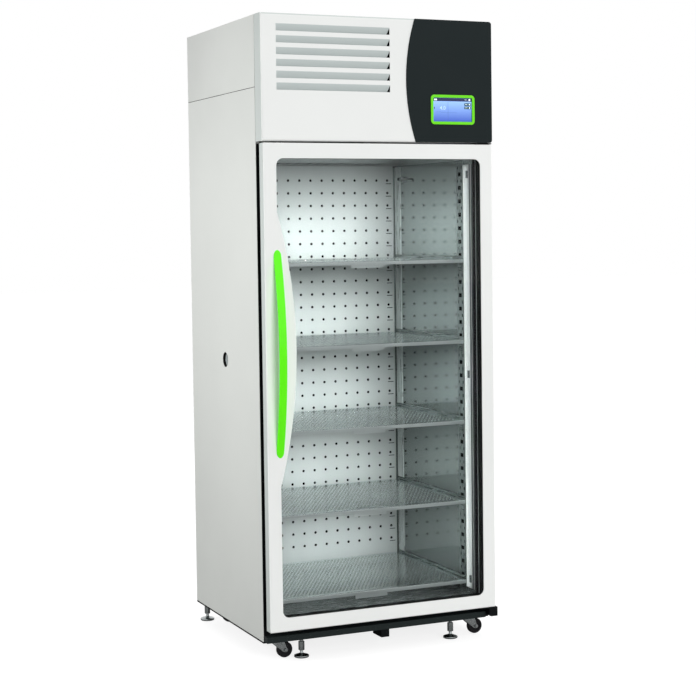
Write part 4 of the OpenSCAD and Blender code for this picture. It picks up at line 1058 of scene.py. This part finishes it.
@dataclass
class TouchScreen:
    """Display in a glossy rim, with a plain picture of bars, a curve and numerals.

    The picture is laid out in shares of the display's width and height, from its lower left corner.
    """

    rim: float = DISPLAY_RIM
    rim_corner: float = 12 * MM
    rim_edge: float = 1.1 * MM
    play: float = 0.4 * MM
    picture: float = 0.12 * MM
    icons: float = 0.2 * MM
    numerals_high: float = 17 * MM

    def build(self) -> None:
        """Make the rim, the display and its picture."""
        self.make_rim()
        self.make_display()
        self.make_picture()
        self.make_icons()
        self.make_numerals()

    def make_rim(self) -> None:
        """Rounded rim around the display."""
        node = Span.of("screen_bezel")
        low, high = node.low, node.high
        rim = round_edges(block("display_rim", low, high), self.rim_corner, along(Axis.Y), 8)
        hole = block("hole", (low.x + self.rim, low.y - PAST, low.z + self.rim),
                     (high.x - self.rim, high.y + PAST, high.z - self.rim))
        carve(rim, round_edges(hole, self.rim_corner - self.rim, along(Axis.Y), 5))
        soften(rim, self.rim_edge, 3, 50)
        dress(rim, LIME_RIM, ["screen_bezel"])

    def make_display(self) -> None:
        """Glass face with its housing behind the header's sheet."""
        node, bezel = Span.of("screen"), Span.of("screen_bezel")
        inset = self.rim + self.play
        self.low = Vector((bezel.low.x + inset, bezel.high.y + 0.5 * MM, bezel.low.z + inset))
        self.high = Vector((bezel.high.x - inset, bezel.high.y + 4 * MM, bezel.high.z - inset))
        face = soften(block("face", self.low, self.high), 0.3 * MM)
        housing = soften(block("housing", (node.low.x, self.high.y, node.low.z), node.high), 1.5 * MM)
        look = DisplayFace("display_face", (0.30, 0.50, 0.88), 0.12, low=self.low.z, high=self.high.z)
        dress(fuse("display", face, housing), look, ["screen"])

    def at(self, x: float, z: float) -> Vector:
        """Point on the face, from its shares of the width and height."""
        size = self.high - self.low
        return self.low + Vector((x * size.x, 0, z * size.z))

    def patches(self, name: str, thick: float,
                plates: list[tuple[float, float, float, float]]) -> list[Piece]:
        """Make thin plates of the picture.

        Args:
            name: Their common name.
            thick: How far they stand out of the face.
            plates: Left side, lower side, width and height of each, in shares.

        Returns:
            The plates.
        """
        out = Vector((0, thick, 0))
        return [block(f"{name}{i}", self.at(x, z) - out, self.at(x + wide, z + tall) + out)
                for i, (x, z, wide, tall) in enumerate(plates)]

    def make_picture(self) -> None:
        """Bar, buttons and a fine curve."""
        layout = {
            "picture_bar": (PICTURE_NAVY, [(0, 0.86, 1, 0.14), (0.02, 0.52, 0.016, 0.1)]),
            "picture_buttons": (PICTURE_GREEN, [(0.81, 0.68, 0.17, 0.11), (0.81, 0.54, 0.17, 0.11)]),
            "picture_lines": (PICTURE_SLATE, [
                (0.38, 0.06, 0.006, 0.76), (0.08, 0.4, 0.12, 0.008), (0.2, 0.385, 0.12, 0.008),
                (0.32, 0.37, 0.14, 0.008), (0.46, 0.375, 0.16, 0.008), (0, 0.0, 1, 0.02)]),
        }
        for name, (look, plates) in layout.items():
            dress(fuse(name, *self.patches(name, self.picture, plates)), look)

    def make_icons(self) -> None:
        """Small pale bars and dots."""
        bars = self.patches("icon", self.icons, [
            (0.03, 0.89, 0.028, 0.07), (0.068, 0.89, 0.028, 0.07), (0.83, 0.73, 0.06, 0.015),
            (0.83, 0.59, 0.06, 0.015), (0.82, 0.925, 0.05, 0.015)])
        dots = [drum(f"dot{i}", self.at(0.945, z), radius, 2 * self.icons, Axis.Y, 24)
                for i, (z, radius) in enumerate([(0.93, 3.2 * MM), (0.735, 2.2 * MM), (0.595, 2.2 * MM)])]
        dress(fuse("picture_icons", *bars, *dots), PICTURE_PALE)

    def make_numerals(self) -> None:
        """A temperature in plain numerals."""
        bpy.ops.object.select_all(action="DESELECT")
        bpy.ops.object.text_add(location=self.at(0.17, 0.5), rotation=(math.pi / 2, 0, 0))
        words = bpy.context.active_object
        words.data.body = "4.0"
        words.data.size = self.numerals_high
        words.data.extrude = self.icons
        words.data.offset = 0.25 * MM
        words.data.resolution_u = 4
        pick(words)
        bpy.ops.object.convert(target="MESH")
        dress(named("picture_numerals"), PICTURE_DIGITS)


# ---------------------------------------------------------------- door


@dataclass
class GlassDoor:
    """Hinged door: painted skin, inner frame, double pane, seal and bow handle."""

    skin: float = 2.2 * MM
    stile: float = 43 * MM
    top_rail: float = 47 * MM
    corner: float = 4.5 * MM
    front_edge: float = 4 * MM
    window_corner: float = 22 * MM
    swell_tall: float = 837 * MM
    swell_wide: float = 57 * MM
    swell_up: float = 903 * MM
    floor_gap: float = 65 * MM
    seal_foot: float = 5 * MM
    handle_long: float = 634 * MM
    handle_up: float = 890 * MM
    handle_out: float = 41.5 * MM
    handle_wide: float = 25 * MM
    handle_thick: float = 11 * MM
    handle_in: float = 45 * MM
    handle_nose: float = 15 * MM
    handle_overrun: float = 0.04

    def build(self) -> None:
        """Make the skin and the handle, and dress the rest."""
        self.node = Span.of("door_frame")
        self.make_skin()
        self.make_handle()
        form("door_inner_frame", 0.8 * MM, BLACK_MOULDED, Body.DOOR)
        coat("door_glass", GLASS)
        form("glass_spacer", 0.6 * MM, BLACK_MOULDED, Body.DOOR)
        seal = form("door_gasket", 1.2 * MM, SEAL, Body.DOOR)
        foot = Span.of("door_gasket").low.y + self.seal_foot
        accent(seal, SEAL_FOOT, lambda centre, normal: centre.y < foot)

    def window(self) -> Piece:
        """Make the cutter in the shape of the window.

        Returns:
            A block with round corners, whose left side bows inwards around the handle.
        """
        low, high = self.node.low, self.node.high
        left = low.x + self.stile
        cutter = block("window", (left, low.y - PAST, low.z + self.stile),
                       (high.x - self.stile, low.y + self.skin + 1 * MM, high.z - self.top_rail))
        round_edges(cutter, self.window_corner, along(Axis.Y), 12)
        radius = arc_radius(self.swell_tall, self.swell_wide)
        middle = (left + self.swell_wide - radius, low.y, self.floor_gap + self.swell_up)
        return carve(cutter, drum("swelling", middle, radius, 20 * PAST, Axis.Y, 1024))

    def make_skin(self) -> None:
        """Folded skin with rounded edges and the window's opening."""
        low, high = self.node.low, self.node.high
        skin = block("door_skin", low, high)
        round_edges(skin, self.corner, along(Axis.Y), 4)
        round_edges(skin, self.front_edge, on_plane(Axis.Y, low.y), 5)
        carve(skin, hollow(self.node, self.skin), self.window())
        smooth(skin, 40)
        dress(skin, WHITE_COAT, ["door_frame"], Body.DOOR)
        # painted shade: the door's left face gets a darker copy of the white paint
        accent(skin, FLANK_SHADE_COAT, on_flank(low))

    def make_handle(self) -> None:
        """Bow swept along a shallow arc, cut off where it meets the door."""
        front = self.node.low.y
        radius = arc_radius(self.handle_long, self.handle_out)
        half = math.asin(self.handle_long / 2 / radius) + self.handle_overrun
        x, z = Span.of("side_panel_left").low.x + self.handle_in, self.floor_gap + self.handle_up
        crown = front - self.handle_out
        centre = (x, crown + radius, z)
        bpy.ops.object.select_all(action="DESELECT")
        bpy.ops.mesh.primitive_plane_add(size=1, location=(x, crown + self.handle_thick / 2, z))
        bpy.context.active_object.scale = (self.handle_wide, self.handle_thick, 1)
        bow = named("bow_handle")
        edit(bow)
        bpy.ops.mesh.bevel(offset=self.handle_thick * 0.48, segments=7, affect="VERTICES")
        bpy.ops.mesh.delete(type="ONLY_FACE")
        bpy.ops.mesh.select_all(action="SELECT")
        bpy.ops.transform.rotate(value=-half, orient_axis="X", center_override=centre)
        bpy.ops.mesh.spin(steps=72, angle=2 * half, center=centre, axis=(1, 0, 0))
        bpy.ops.mesh.select_all(action="SELECT")
        bpy.ops.mesh.remove_doubles(threshold=1e-7)
        bpy.ops.mesh.select_all(action="SELECT")
        bpy.ops.mesh.bisect(plane_co=(0, front - 0.02 * MM, 0), plane_no=(0, 1, 0), use_fill=True,
                            clear_outer=True)
        bpy.ops.mesh.select_all(action="SELECT")
        bpy.ops.mesh.normals_make_consistent(inside=False)
        done()
        self.round_tips(bow, x, z)
        smooth(bow, 50)
        dress(bow, LIME, ["door_handle"], Body.DOOR)

    def round_tips(self, bow: Piece, x: float, z: float) -> None:
        """Narrow the handle to a round nose, a quarter as wide, at both tips.

        Args:
            bow: The handle.
            x: Its middle across the door.
            z: Its middle height.
        """
        start = self.handle_long / 2 - self.handle_nose
        for vertex in bow.data.vertices:
            share = min(1.0, max(0.0, (abs(vertex.co.z - z) - start) / self.handle_nose))
            vertex.co.x = x + (vertex.co.x - x) * math.sqrt(1.0 - 0.94 * share * share)


# ---------------------------------------------------------------- chamber


@dataclass
class Shelf:
    """Perforated shelf with a plain border and turned-down edges."""

    number: int
    pitch: float = 13 * MM
    row: float = 22.5 * MM
    hole: float = 4.0 * MM
    sheet: float = 1.2 * MM
    lip: float = 12 * MM
    edge: float = 2.2 * MM
    tab: float = 112 * MM
    border: float = 14 * MM

    def build(self) -> None:
        """Make the shelf in place of its CAD node."""
        name = f"shelf_{self.number}"
        self.node = Span.of(name)
        room = self.node.size - 2 * self.border * Vector((1, 1, 0))
        self.across, self.deep = int(room.x / self.pitch), int(room.y / self.row)
        half = Vector((self.across * self.pitch, self.deep * self.row, 0)) / 2
        self.inner = Span(self.node.middle - half, self.node.middle + half)
        frame = self.frame()
        shelf = smooth(fuse(f"{name}_formed", frame, self.holes()), 30)
        dress(shelf, SHELF_STEEL, [name], name)
        # painted shade: the faces at the shelf's front that don't face up get a darker copy of its steel
        front = self.node.low.y + 3 * MM
        accent(shelf, LIP_SHADE_STEEL, lambda centre, normal: normal.z < 0.5 and centre.y < front)

    def holes(self) -> Piece:
        """Make the field of staggered holes.

        Returns:
            The perforated sheet inside the border.
        """
        x, y, top = self.inner.low.x, self.inner.low.y, self.node.high.z
        tile = block("tile", (x, y, top - PAST), (x + self.pitch, y + self.row, top))
        for share in (0.25, 0.75):
            centre = (x + share * self.pitch, y + share * self.row, top)
            carve(tile, drum("punch", centre, self.hole, 5 * PAST, sides=12))
        mark(tile, faces=lambda centre, normal: normal.z < 0.9)
        bpy.ops.mesh.delete(type="FACE")
        done()
        repeat(tile, (Axis.X, self.across, self.pitch), (Axis.Y, self.deep, self.row), weld=True)
        return modify(tile, "SOLIDIFY", thickness=self.sheet, offset=-1)

    def frame(self) -> Piece:
        """Make the border with the turned-down edges and the front tab.

        Returns:
            The border.
        """
        low, high, inner = self.node.low, self.node.high, self.inner
        frame = block("frame", (low.x, low.y, high.z - self.lip), high)
        round_edges(frame, self.edge, on_plane(Axis.Z, high.z), 3)
        under = block("under", (low.x + self.sheet, low.y + self.sheet, low.z - PAST),
                      (high.x - self.sheet, high.y - self.sheet, high.z - self.sheet))
        opening = block("opening", (inner.low.x, inner.low.y, low.z - PAST),
                        (inner.high.x, inner.high.y, high.z + PAST))
        carve(frame, under, opening)
        middle = self.node.middle.x
        tab = block("tab", (middle - self.tab / 2, low.y, low.z),
                    (middle + self.tab / 2, low.y + self.sheet, high.z - self.lip + 1 * MM))
        return fuse("frame", frame, tab)


@dataclass
class Chamber:
    """Stainless chamber with its duct panel, strips, rails, lamp and probe."""

    strip_wide: float = 42 * MM
    back_inset: float = 3 * MM
    back_thick: float = 0.3 * MM
    column: float = 42 * MM
    columns: int = 16
    column_in: float = 22 * MM
    row: float = 43.95 * MM
    rows: int = 30
    row_down: float = 42 * MM
    air_hole: float = 3.5 * MM
    # radius and thickness of the rings of painted shade around the air holes
    rim: float = 4.6 * MM
    shade_ring_thick: float = 0.16 * MM
    drains: int = 7
    drain_wide: float = 7 * MM
    drain_in: float = 10 * MM
    clip: float = 5 * MM
    groove: float = 2 * MM

    def build(self) -> None:
        """Dress the chamber and add the parts that the frame leaves plain."""
        coat("duct_panel", DUCT_STEEL)
        coat("liner_sides", WALL_STEEL)
        # painted shade on the ceiling
        coat("ceiling_panel", CEILING_SHADE_STEEL)
        coat("floor_pan", FLOOR_STEEL)
        coat("lamp_diffuser", FROSTED)
        # painted shade: the insulation is near-black so the duct looks dark through its holes
        coat("insulation", FOAM_SHADE)
        strips = form("pilasters", 0.2 * MM, STRIP_STEEL, steps=1)
        # painted light: the rear strips get a lighter copy of the strip steel
        accent(strips, REAR_LIT_STEEL, lambda centre, normal: centre.y > 0)
        form("shelf_rails", 0.3 * MM, RAIL_STEEL, steps=1)
        self.make_channel()
        form("temperature_probe", 0.4 * MM, CHROME)
        self.make_shade_backs()
        self.make_hole_shades()
        self.make_drains()
        for number in range(SHELVES):
            Shelf(number + 1).build()

    def make_channel(self) -> None:
        """Lamp channel with painted shade in its groove and on the front faces beside it, and bright clips.
        """
        channel = form("lamp_channel", 0.5 * MM, LAMP_METAL)
        face = Span.of("lamp_channel").low.x + self.clip
        bottom = face + self.groove

        # painted shade: the groove and the front faces beside it get a dark copy of the steel
        accent(channel, GROOVE_SHADE_STEEL, lambda centre, normal: (normal.y < -0.9 and centre.x > face) or (
            normal.x < -0.1 and abs(normal.z) < 0.5 and face + 0.3 * MM < centre.x < bottom + 0.1 * MM))
        accent(channel, CHROME, lambda centre, normal: centre.x < face - 0.1 * MM)

    def make_shade_backs(self) -> None:
        """Dark sheets of painted shade behind the front strips' slots and behind the duct panel's holes."""
        liner, strips, duct = Span.of("liner_sides"), Span.of("pilasters"), Span.of("duct_panel")
        front, rear = strips.low.y + self.back_inset, strips.low.y + self.strip_wide - self.back_inset
        gap = 0.05 * MM
        backs = [block("back", (x, front, liner.low.z + 2 * self.back_inset),
                       (x + self.back_thick, rear, liner.high.z - 2 * self.back_inset))
                 for x in (strips.low.x + gap, strips.high.x - gap - self.back_thick)]
        backs.append(block("duct_shade_back", (duct.low.x + 2 * MM, duct.low.y + 1.2 * MM, duct.low.z + 2 * MM),
                           (duct.high.x - 2 * MM, duct.low.y + 1.8 * MM, duct.high.z - 2 * MM)))
        cap = block("duct_cap", (duct.low.x, duct.low.y + 0.2 * MM, duct.high.z - 2 * MM),
                    (duct.high.x, duct.low.y + 1 * MM, liner.high.z - 0.1 * MM))
        dress(soften(cap, 0.2 * MM), DUCT_STEEL)
        dress(fuse("slot_shade_backs", *backs), SHADOW)

    def make_hole_shades(self) -> None:
        """Thin dark rings of painted shade around the duct panel's holes."""
        duct = Span.of("duct_panel")
        centre = Vector((duct.high.x - self.column_in, duct.low.y, duct.high.z - self.row_down))
        half = Vector((0, self.shade_ring_thick / 2, 0))
        ring = drum("ring", centre - half, self.rim, self.shade_ring_thick, Axis.Y, 24)
        carve(ring, drum("bore", centre, self.air_hole, PAST, Axis.Y, 24))
        repeat(ring, (Axis.X, self.columns, -self.column), (Axis.Z, self.rows, -self.row))
        dress(fuse("hole_shade_rings", ring), SHADOW)

    def make_drains(self) -> None:
        """Row of dark patches of painted shade along the front of the floor pan, in place of the drain
        slots.
        """
        pan = Span.of("floor_pan")
        front, step = pan.low.y + self.drain_in, pan.size.x / self.drains
        slots = [block(f"drain{i}", (pan.low.x + (i + 0.22) * step, front, pan.high.z - 0.3 * MM),
                       (pan.low.x + (i + 0.84) * step, front + self.drain_wide, pan.high.z + 0.15 * MM))
                 for i in range(self.drains)]
        for slot in slots:
            round_edges(slot, 3 * MM, along(Axis.Z), 5)
        dress(fuse("drain_slot_shade", *slots), SHADOW)


# ---------------------------------------------------------------- base


@dataclass
class Base:
    """Black base frame with its kick strip, casters and levelling feet."""

    def build(self) -> None:
        """Make the base frame, the casters and the feet."""
        form("base_frame", 0.8 * MM, BLACK_COAT)
        form("kick_strip", 0.6 * MM, KICK_COAT)
        form("hinge_brackets", 1.0 * MM, BLACK_COAT)
        coat("caster_plates", ZINC)
        for place in ("front_left", "front_right", "rear_left", "rear_right"):
            Caster(place).build()
            Foot(place).build()


@dataclass
class Caster:
    """Swivel caster: plated fork and a wheel with a hub."""

    place: str
    nut: float = 4.8 * MM
    nut_thick: float = 2.4 * MM
    race: float = 19.6 * MM
    race_thick: float = 3 * MM
    race_down: float = 5 * MM
    stem_in: float = 19 * MM

    def build(self) -> None:
        """Make the fork with its race and axle nuts, and the wheel."""
        fork_name, wheel_name = f"fork_{self.place}", f"wheel_{self.place}"
        fork, axle = Span.of(fork_name), Span.of(wheel_name).middle
        parts = [refined(fork_name, 0.5 * MM)]
        inset = self.nut_thick / 2
        for i, y in enumerate((fork.low.y + inset, fork.high.y - inset)):
            nut = drum(f"nut{i}", (axle.x, y, axle.z), self.nut, self.nut_thick, Axis.Y, 6)
            parts.append(soften(nut, 0.4 * MM))
        stem = (fork.low.x + self.stem_in, fork.middle.y, fork.high.z - self.race_down)
        parts.append(soften(drum("race", stem, self.race, self.race_thick, sides=48), 0.8 * MM))
        dress(fuse(f"{fork_name}_formed", *parts), ZINC, [fork_name], fork_name)
        wheel = smooth(refined(wheel_name, 0.5 * MM), 40)
        dress(wheel, TYRE, [wheel_name], wheel_name)


@dataclass
class Foot:
    """Levelling foot: pressed disc, swivel neck, hexagon and threaded stud."""

    place: str
    neck: float = 5 * MM
    neck_top: float = 22 * MM
    hexagon: float = 9.9 * MM
    hexagon_high: float = 28 * MM
    thread: float = 1.75 * MM
    thread_core: float = 5.2 * MM
    thread_crest: float = 6 * MM

    def build(self) -> None:
        """Make the foot in place of its CAD node."""
        name = f"foot_{self.place}"
        self.node = Span.of(name)
        x, y = self.node.middle.x, self.node.middle.y
        disc = spun("disc", (x, y, 0), self.disc_profile(), steps=48)
        hexagon = drum("hexagon", (x, y, self.neck_top + self.hexagon_high / 2), self.hexagon,
                       self.hexagon_high, sides=6)
        soften(hexagon, 0.9 * MM)
        stud = spun("stud", (x, y, 0), self.stud_profile(), steps=24)
        foot = smooth(fuse(f"{name}_formed", disc, hexagon, stud), 32)
        dress(foot, CHROME, [name], name)

    def disc_profile(self) -> Profile:
        """Draw the disc with its dome and neck.

        Returns:
            Pairs of radius and height.
        """
        disc = self.node.size.x / 2
        rim = [(disc - 2 * MM, 0), (disc - 0.6 * MM, 0.8 * MM), (disc, 2.2 * MM), (disc, 5.2 * MM),
               (disc - 0.8 * MM, 6.6 * MM), (disc - 3 * MM, 7.6 * MM)]
        dome = [(12 * MM, 10 * MM), (9 * MM, 11.2 * MM), (6.6 * MM, 12.4 * MM), (self.neck, 14 * MM)]
        return [(0, 0), *rim, *dome, (self.neck, self.neck_top), (0, self.neck_top)]

    def stud_profile(self) -> Profile:
        """Draw the stud with its thread, from the hexagon up.

        Returns:
            Pairs of radius and height.
        """
        top = self.node.high.z
        height = self.neck_top + self.hexagon_high
        profile = [(0, height)]
        while height < top - self.thread:
            profile += [(self.thread_core, height), (self.thread_crest, height + self.thread / 2)]
            height += self.thread
        return [*profile, (self.thread_core, height), (self.thread_core, top), (0, top)]


# ---------------------------------------------------------------- cabinet


@dataclass
class Cabinet:
    """Outer panels, black mouth frame, access port and rear fittings."""

    seam: float = 1.2 * MM
    screw: float = 4.2 * MM
    screw_rows: int = 7
    screw_in: float = 12 * MM
    screw_up: float = 40 * MM
    screw_down: float = 30 * MM

    def build(self) -> None:
        """Dress the panels and add screws, the port and the inlet."""
        for node in ("side_panel_left", "side_panel_right"):
            form(node, 0.35 * MM, SIDE_COAT)
        self.make_machine_cover()
        coat("back_panel", BACK_COAT)
        coat("front_frame", BLACK_COAT)
        form("port_sleeve", 0.8 * MM, BLACK_MOULDED)
        form("port_stopper", 1.5 * MM, BUNG, Body.STOPPER, 3)
        self.make_screws()
        form("power_inlet", 0.4 * MM, BLACK_MOULDED)
        coat("power_switch", RED_ROCKER)

    def make_machine_cover(self) -> None:
        """Cover of the machine compartment, over a dark strip of painted shade in the seam on each side."""
        node = Span.of("machine_cover")
        low, high = node.low, node.high
        cover = refined("machine_cover", 0.35 * MM)
        carve(cover, block("seam", (low.x - PAST, low.y - PAST, low.z - PAST),
                           (high.x + PAST, high.y + PAST, low.z + self.seam)))
        dress(cover, SIDE_COAT, ["machine_cover"])
        seams = [block(f"seam{i}", (x, low.y + 1 * MM, low.z - 0.3 * MM),
                       (x + 0.4 * MM, high.y - 1 * MM, low.z + 3 * MM))
                 for i, x in enumerate((low.x + 0.8 * MM, high.x - 1.2 * MM))]
        dress(fuse("cover_seam_shade", *seams), SHADOW)

    def make_screws(self) -> None:
        """Pan-head screws along the back panel's edges."""
        back = Span.of("back_panel")
        first = back.low.z + self.screw_up
        step = (back.size.z - self.screw_up - self.screw_down) / (self.screw_rows - 1)
        profile = [(0, 0), (self.screw, 0), (self.screw, 0.6 * MM), (0.7 * self.screw, 1.6 * MM),
                   (0, 1.9 * MM)]
        heads = []
        for x in (back.low.x + self.screw_in, back.high.x - self.screw_in):
            for i in range(self.screw_rows):
                head = spun("screw", (x, back.high.y, first + i * step), profile, Axis.Y, 16)
                for vertex in head.data.vertices:
                    vertex.co.y = back.high.y + abs(vertex.co.y - back.high.y)
                heads.append(head)
        screws = fuse("back_screws", *heads)
        edit(screws)
        bpy.ops.mesh.normals_make_consistent(inside=False)
        done()
        dress(smooth(screws, 40), ZINC)


@dataclass
class MachineRoom:
    """Machine compartment behind the header: only its finishes differ from the frame."""

    def build(self) -> None:
        """Give each node its finish."""
        looks = {
            "deck_plate": GALVANISED, "compressor": BLACK_COAT, "condenser": ALUMINIUM,
            "fan_shroud": BLACK_COAT, "condenser_fan": BLACK_MOULDED, "air_box": BOX_FOAM,
            "evaporator": ALUMINIUM, "circulation_fan": BLACK_MOULDED, "control_box": GALVANISED,
            "refrigerant_lines": COPPER,
        }
        for node, look in looks.items():
            coat(node, look)


# ---------------------------------------------------------------- stage


@dataclass(frozen=True)
class SoftLamp:
    """Flat lamp that no camera and no mirror shows: square, or upright where it has a height."""

    name: str
    place: Point
    aim: Point
    size: float
    power: float
    tall: float = 0.0
    spread: float = 180.0

    def hang(self) -> None:
        """Add the lamp to the scene."""
        bpy.ops.object.light_add(type="AREA", location=self.place)
        lamp = bpy.context.active_object
        lamp.name = self.name
        lamp.data.size = self.size
        lamp.data.energy = self.power
        lamp.data.spread = math.radians(self.spread)
        if self.tall:
            lamp.data.shape = "RECTANGLE"
            lamp.data.size_y = self.tall
        lamp.rotation_euler = (Vector(self.aim) - Vector(self.place)).to_track_quat("-Z", "Y").to_euler()
        lamp.visible_camera = False
        lamp.visible_glossy = False


@dataclass
class Studio:
    """Pale floor, soft lamps and the camera."""

    camera_place: Point = (-2.1467, -4.8961, 1.3357)
    camera_turn: Point = (87.1188, 0.7689, -23.8743)
    lens: float = 83.84
    shift: tuple[float, float] = (0.0026, -0.0552)
    sky: float = 0.46
    floor_tone: float = 0.34
    floor_glow: float = 0.82
    sun_from: Point = (0.14, -0.94, 0.25)
    sun_power: float = 1.85
    sun_angle: float = 38.0
    strip_rise: float = 75 * MM

    def build(self) -> None:
        """Set up the world, the floor, the lamps and the camera."""
        scene = bpy.context.scene
        scene.view_settings.view_transform = "Standard"
        self.make_world(scene)
        self.make_floor()
        self.make_sun()
        for lamp in self.lamps():
            lamp.hang()
        self.make_camera(scene)

    def lamps(self) -> list[SoftLamp]:
        """List the lamps around the cabinet and inside the chamber.

        Returns:
            The lamps.
        """
        heights = [Span.of(f"shelf_{i + 1}").high.z + self.strip_rise for i in range(SHELVES)]
        return [
            SoftLamp("side", (-2.05, -0.15, 1.25), (-0.4, 0.05, 1.2), 0.5, 15.5),
            *(self.strip(f"strip_{i + 1}", height, 0.03, 0.5) for i, height in enumerate(heights)),
            self.strip("strip_top", 1.44, 0.16, 0.32),
            SoftLamp("column", (-0.34, -0.245, 0.85), (0.34, -0.26, 0.85), 0.03, 0.8, 1.36, 36),
            SoftLamp("right", (4.4, -1.4, 2.4), (0.3, 0.0, 1.0), 2.0, 50),
            SoftLamp("rear", (1.5, 4.0, 3.0), (0.0, 0.0, 1.2), 2.5, 60),
        ]

    def strip(self, name: str, height: float, tall: float, power: float) -> SoftLamp:
        """Lamp inside the chamber that faces the duct panel."""
        return SoftLamp(name, (0.04, -0.235, height), (0.07, 0.3, height - 0.03), 0.48, power, tall, 40)

    def make_sun(self) -> None:
        """Broad distant lamp that shows in no mirror."""
        bpy.ops.object.light_add(type="SUN")
        sun = bpy.context.active_object
        sun.name = "key"
        sun.data.energy = self.sun_power
        sun.data.angle = math.radians(self.sun_angle)
        sun.rotation_euler = (-Vector(self.sun_from)).to_track_quat("-Z", "Y").to_euler()
        sun.visible_glossy = False

    def make_world(self, scene: bpy.types.Scene) -> None:
        """Make a plain soft sky that is white to the camera and in mirrors.

        Args:
            scene: The scene that it lights.
        """
        world = bpy.data.worlds.new("studio")
        scene.world = world
        world.use_nodes = True
        tree = world.node_tree
        path = tree.nodes.new("ShaderNodeLightPath")
        seen = tree.nodes.new("ShaderNodeMath")
        seen.operation = "MAXIMUM"
        tree.links.new(path.outputs["Is Camera Ray"], seen.inputs[0])
        tree.links.new(path.outputs["Is Glossy Ray"], seen.inputs[1])
        strength = tree.nodes.new("ShaderNodeMapRange")
        strength.inputs["To Min"].default_value = self.sky
        strength.inputs["To Max"].default_value = 1.0
        tree.links.new(seen.outputs["Value"], strength.inputs["Value"])
        back = tree.nodes["Background"]
        back.inputs["Color"].default_value = (1, 1, 1, 1)
        tree.links.new(strength.outputs["Result"], back.inputs["Strength"])

    def make_floor(self) -> None:
        """Pale floor that keeps the object's shadow."""
        bpy.ops.object.select_all(action="DESELECT")
        bpy.ops.mesh.primitive_plane_add(size=60)
        floor = named("floor")
        material = bpy.data.materials.new("pale_floor")
        material.use_nodes = True
        tree = material.node_tree
        tree.nodes.remove(tree.nodes["Principled BSDF"])
        diffuse = tree.nodes.new("ShaderNodeBsdfDiffuse")
        diffuse.inputs["Color"].default_value = (self.floor_tone, self.floor_tone, self.floor_tone, 1)
        path = tree.nodes.new("ShaderNodeLightPath")
        scaled = tree.nodes.new("ShaderNodeMath")
        scaled.operation = "MULTIPLY"
        scaled.inputs[1].default_value = self.floor_glow
        tree.links.new(path.outputs["Is Camera Ray"], scaled.inputs[0])
        glow = tree.nodes.new("ShaderNodeEmission")
        tree.links.new(scaled.outputs["Value"], glow.inputs["Strength"])
        both = tree.nodes.new("ShaderNodeAddShader")
        tree.links.new(diffuse.outputs["BSDF"], both.inputs[0])
        tree.links.new(glow.outputs["Emission"], both.inputs[1])
        tree.links.new(both.outputs["Shader"], tree.nodes["Material Output"].inputs["Surface"])
        floor.data.materials.append(material)

    def make_camera(self, scene: bpy.types.Scene) -> None:
        """Add the camera at the usual product angle, from the left and a little above the middle.

        Args:
            scene: The scene that it shows.
        """
        bpy.ops.object.camera_add(location=self.camera_place,
                                  rotation=tuple(math.radians(turn) for turn in self.camera_turn))
        camera = bpy.context.active_object
        camera.data.sensor_width = 36
        camera.data.lens = self.lens
        camera.data.shift_x, camera.data.shift_y = self.shift
        camera.data.clip_end = 100
        scene.camera = camera


def main() -> None:
    """Build the stage and every sub-assembly in order."""
    logging.basicConfig(level=logging.INFO, format="%(name)s: %(message)s")
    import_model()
    Studio().build()
    for part in (Cabinet(), Header(), TouchScreen(), GlassDoor(), Chamber(), Base(), MachineRoom()):
        log.info("building %s", type(part).__name__)
        part.build()


if __name__ == "__main__":
    main()
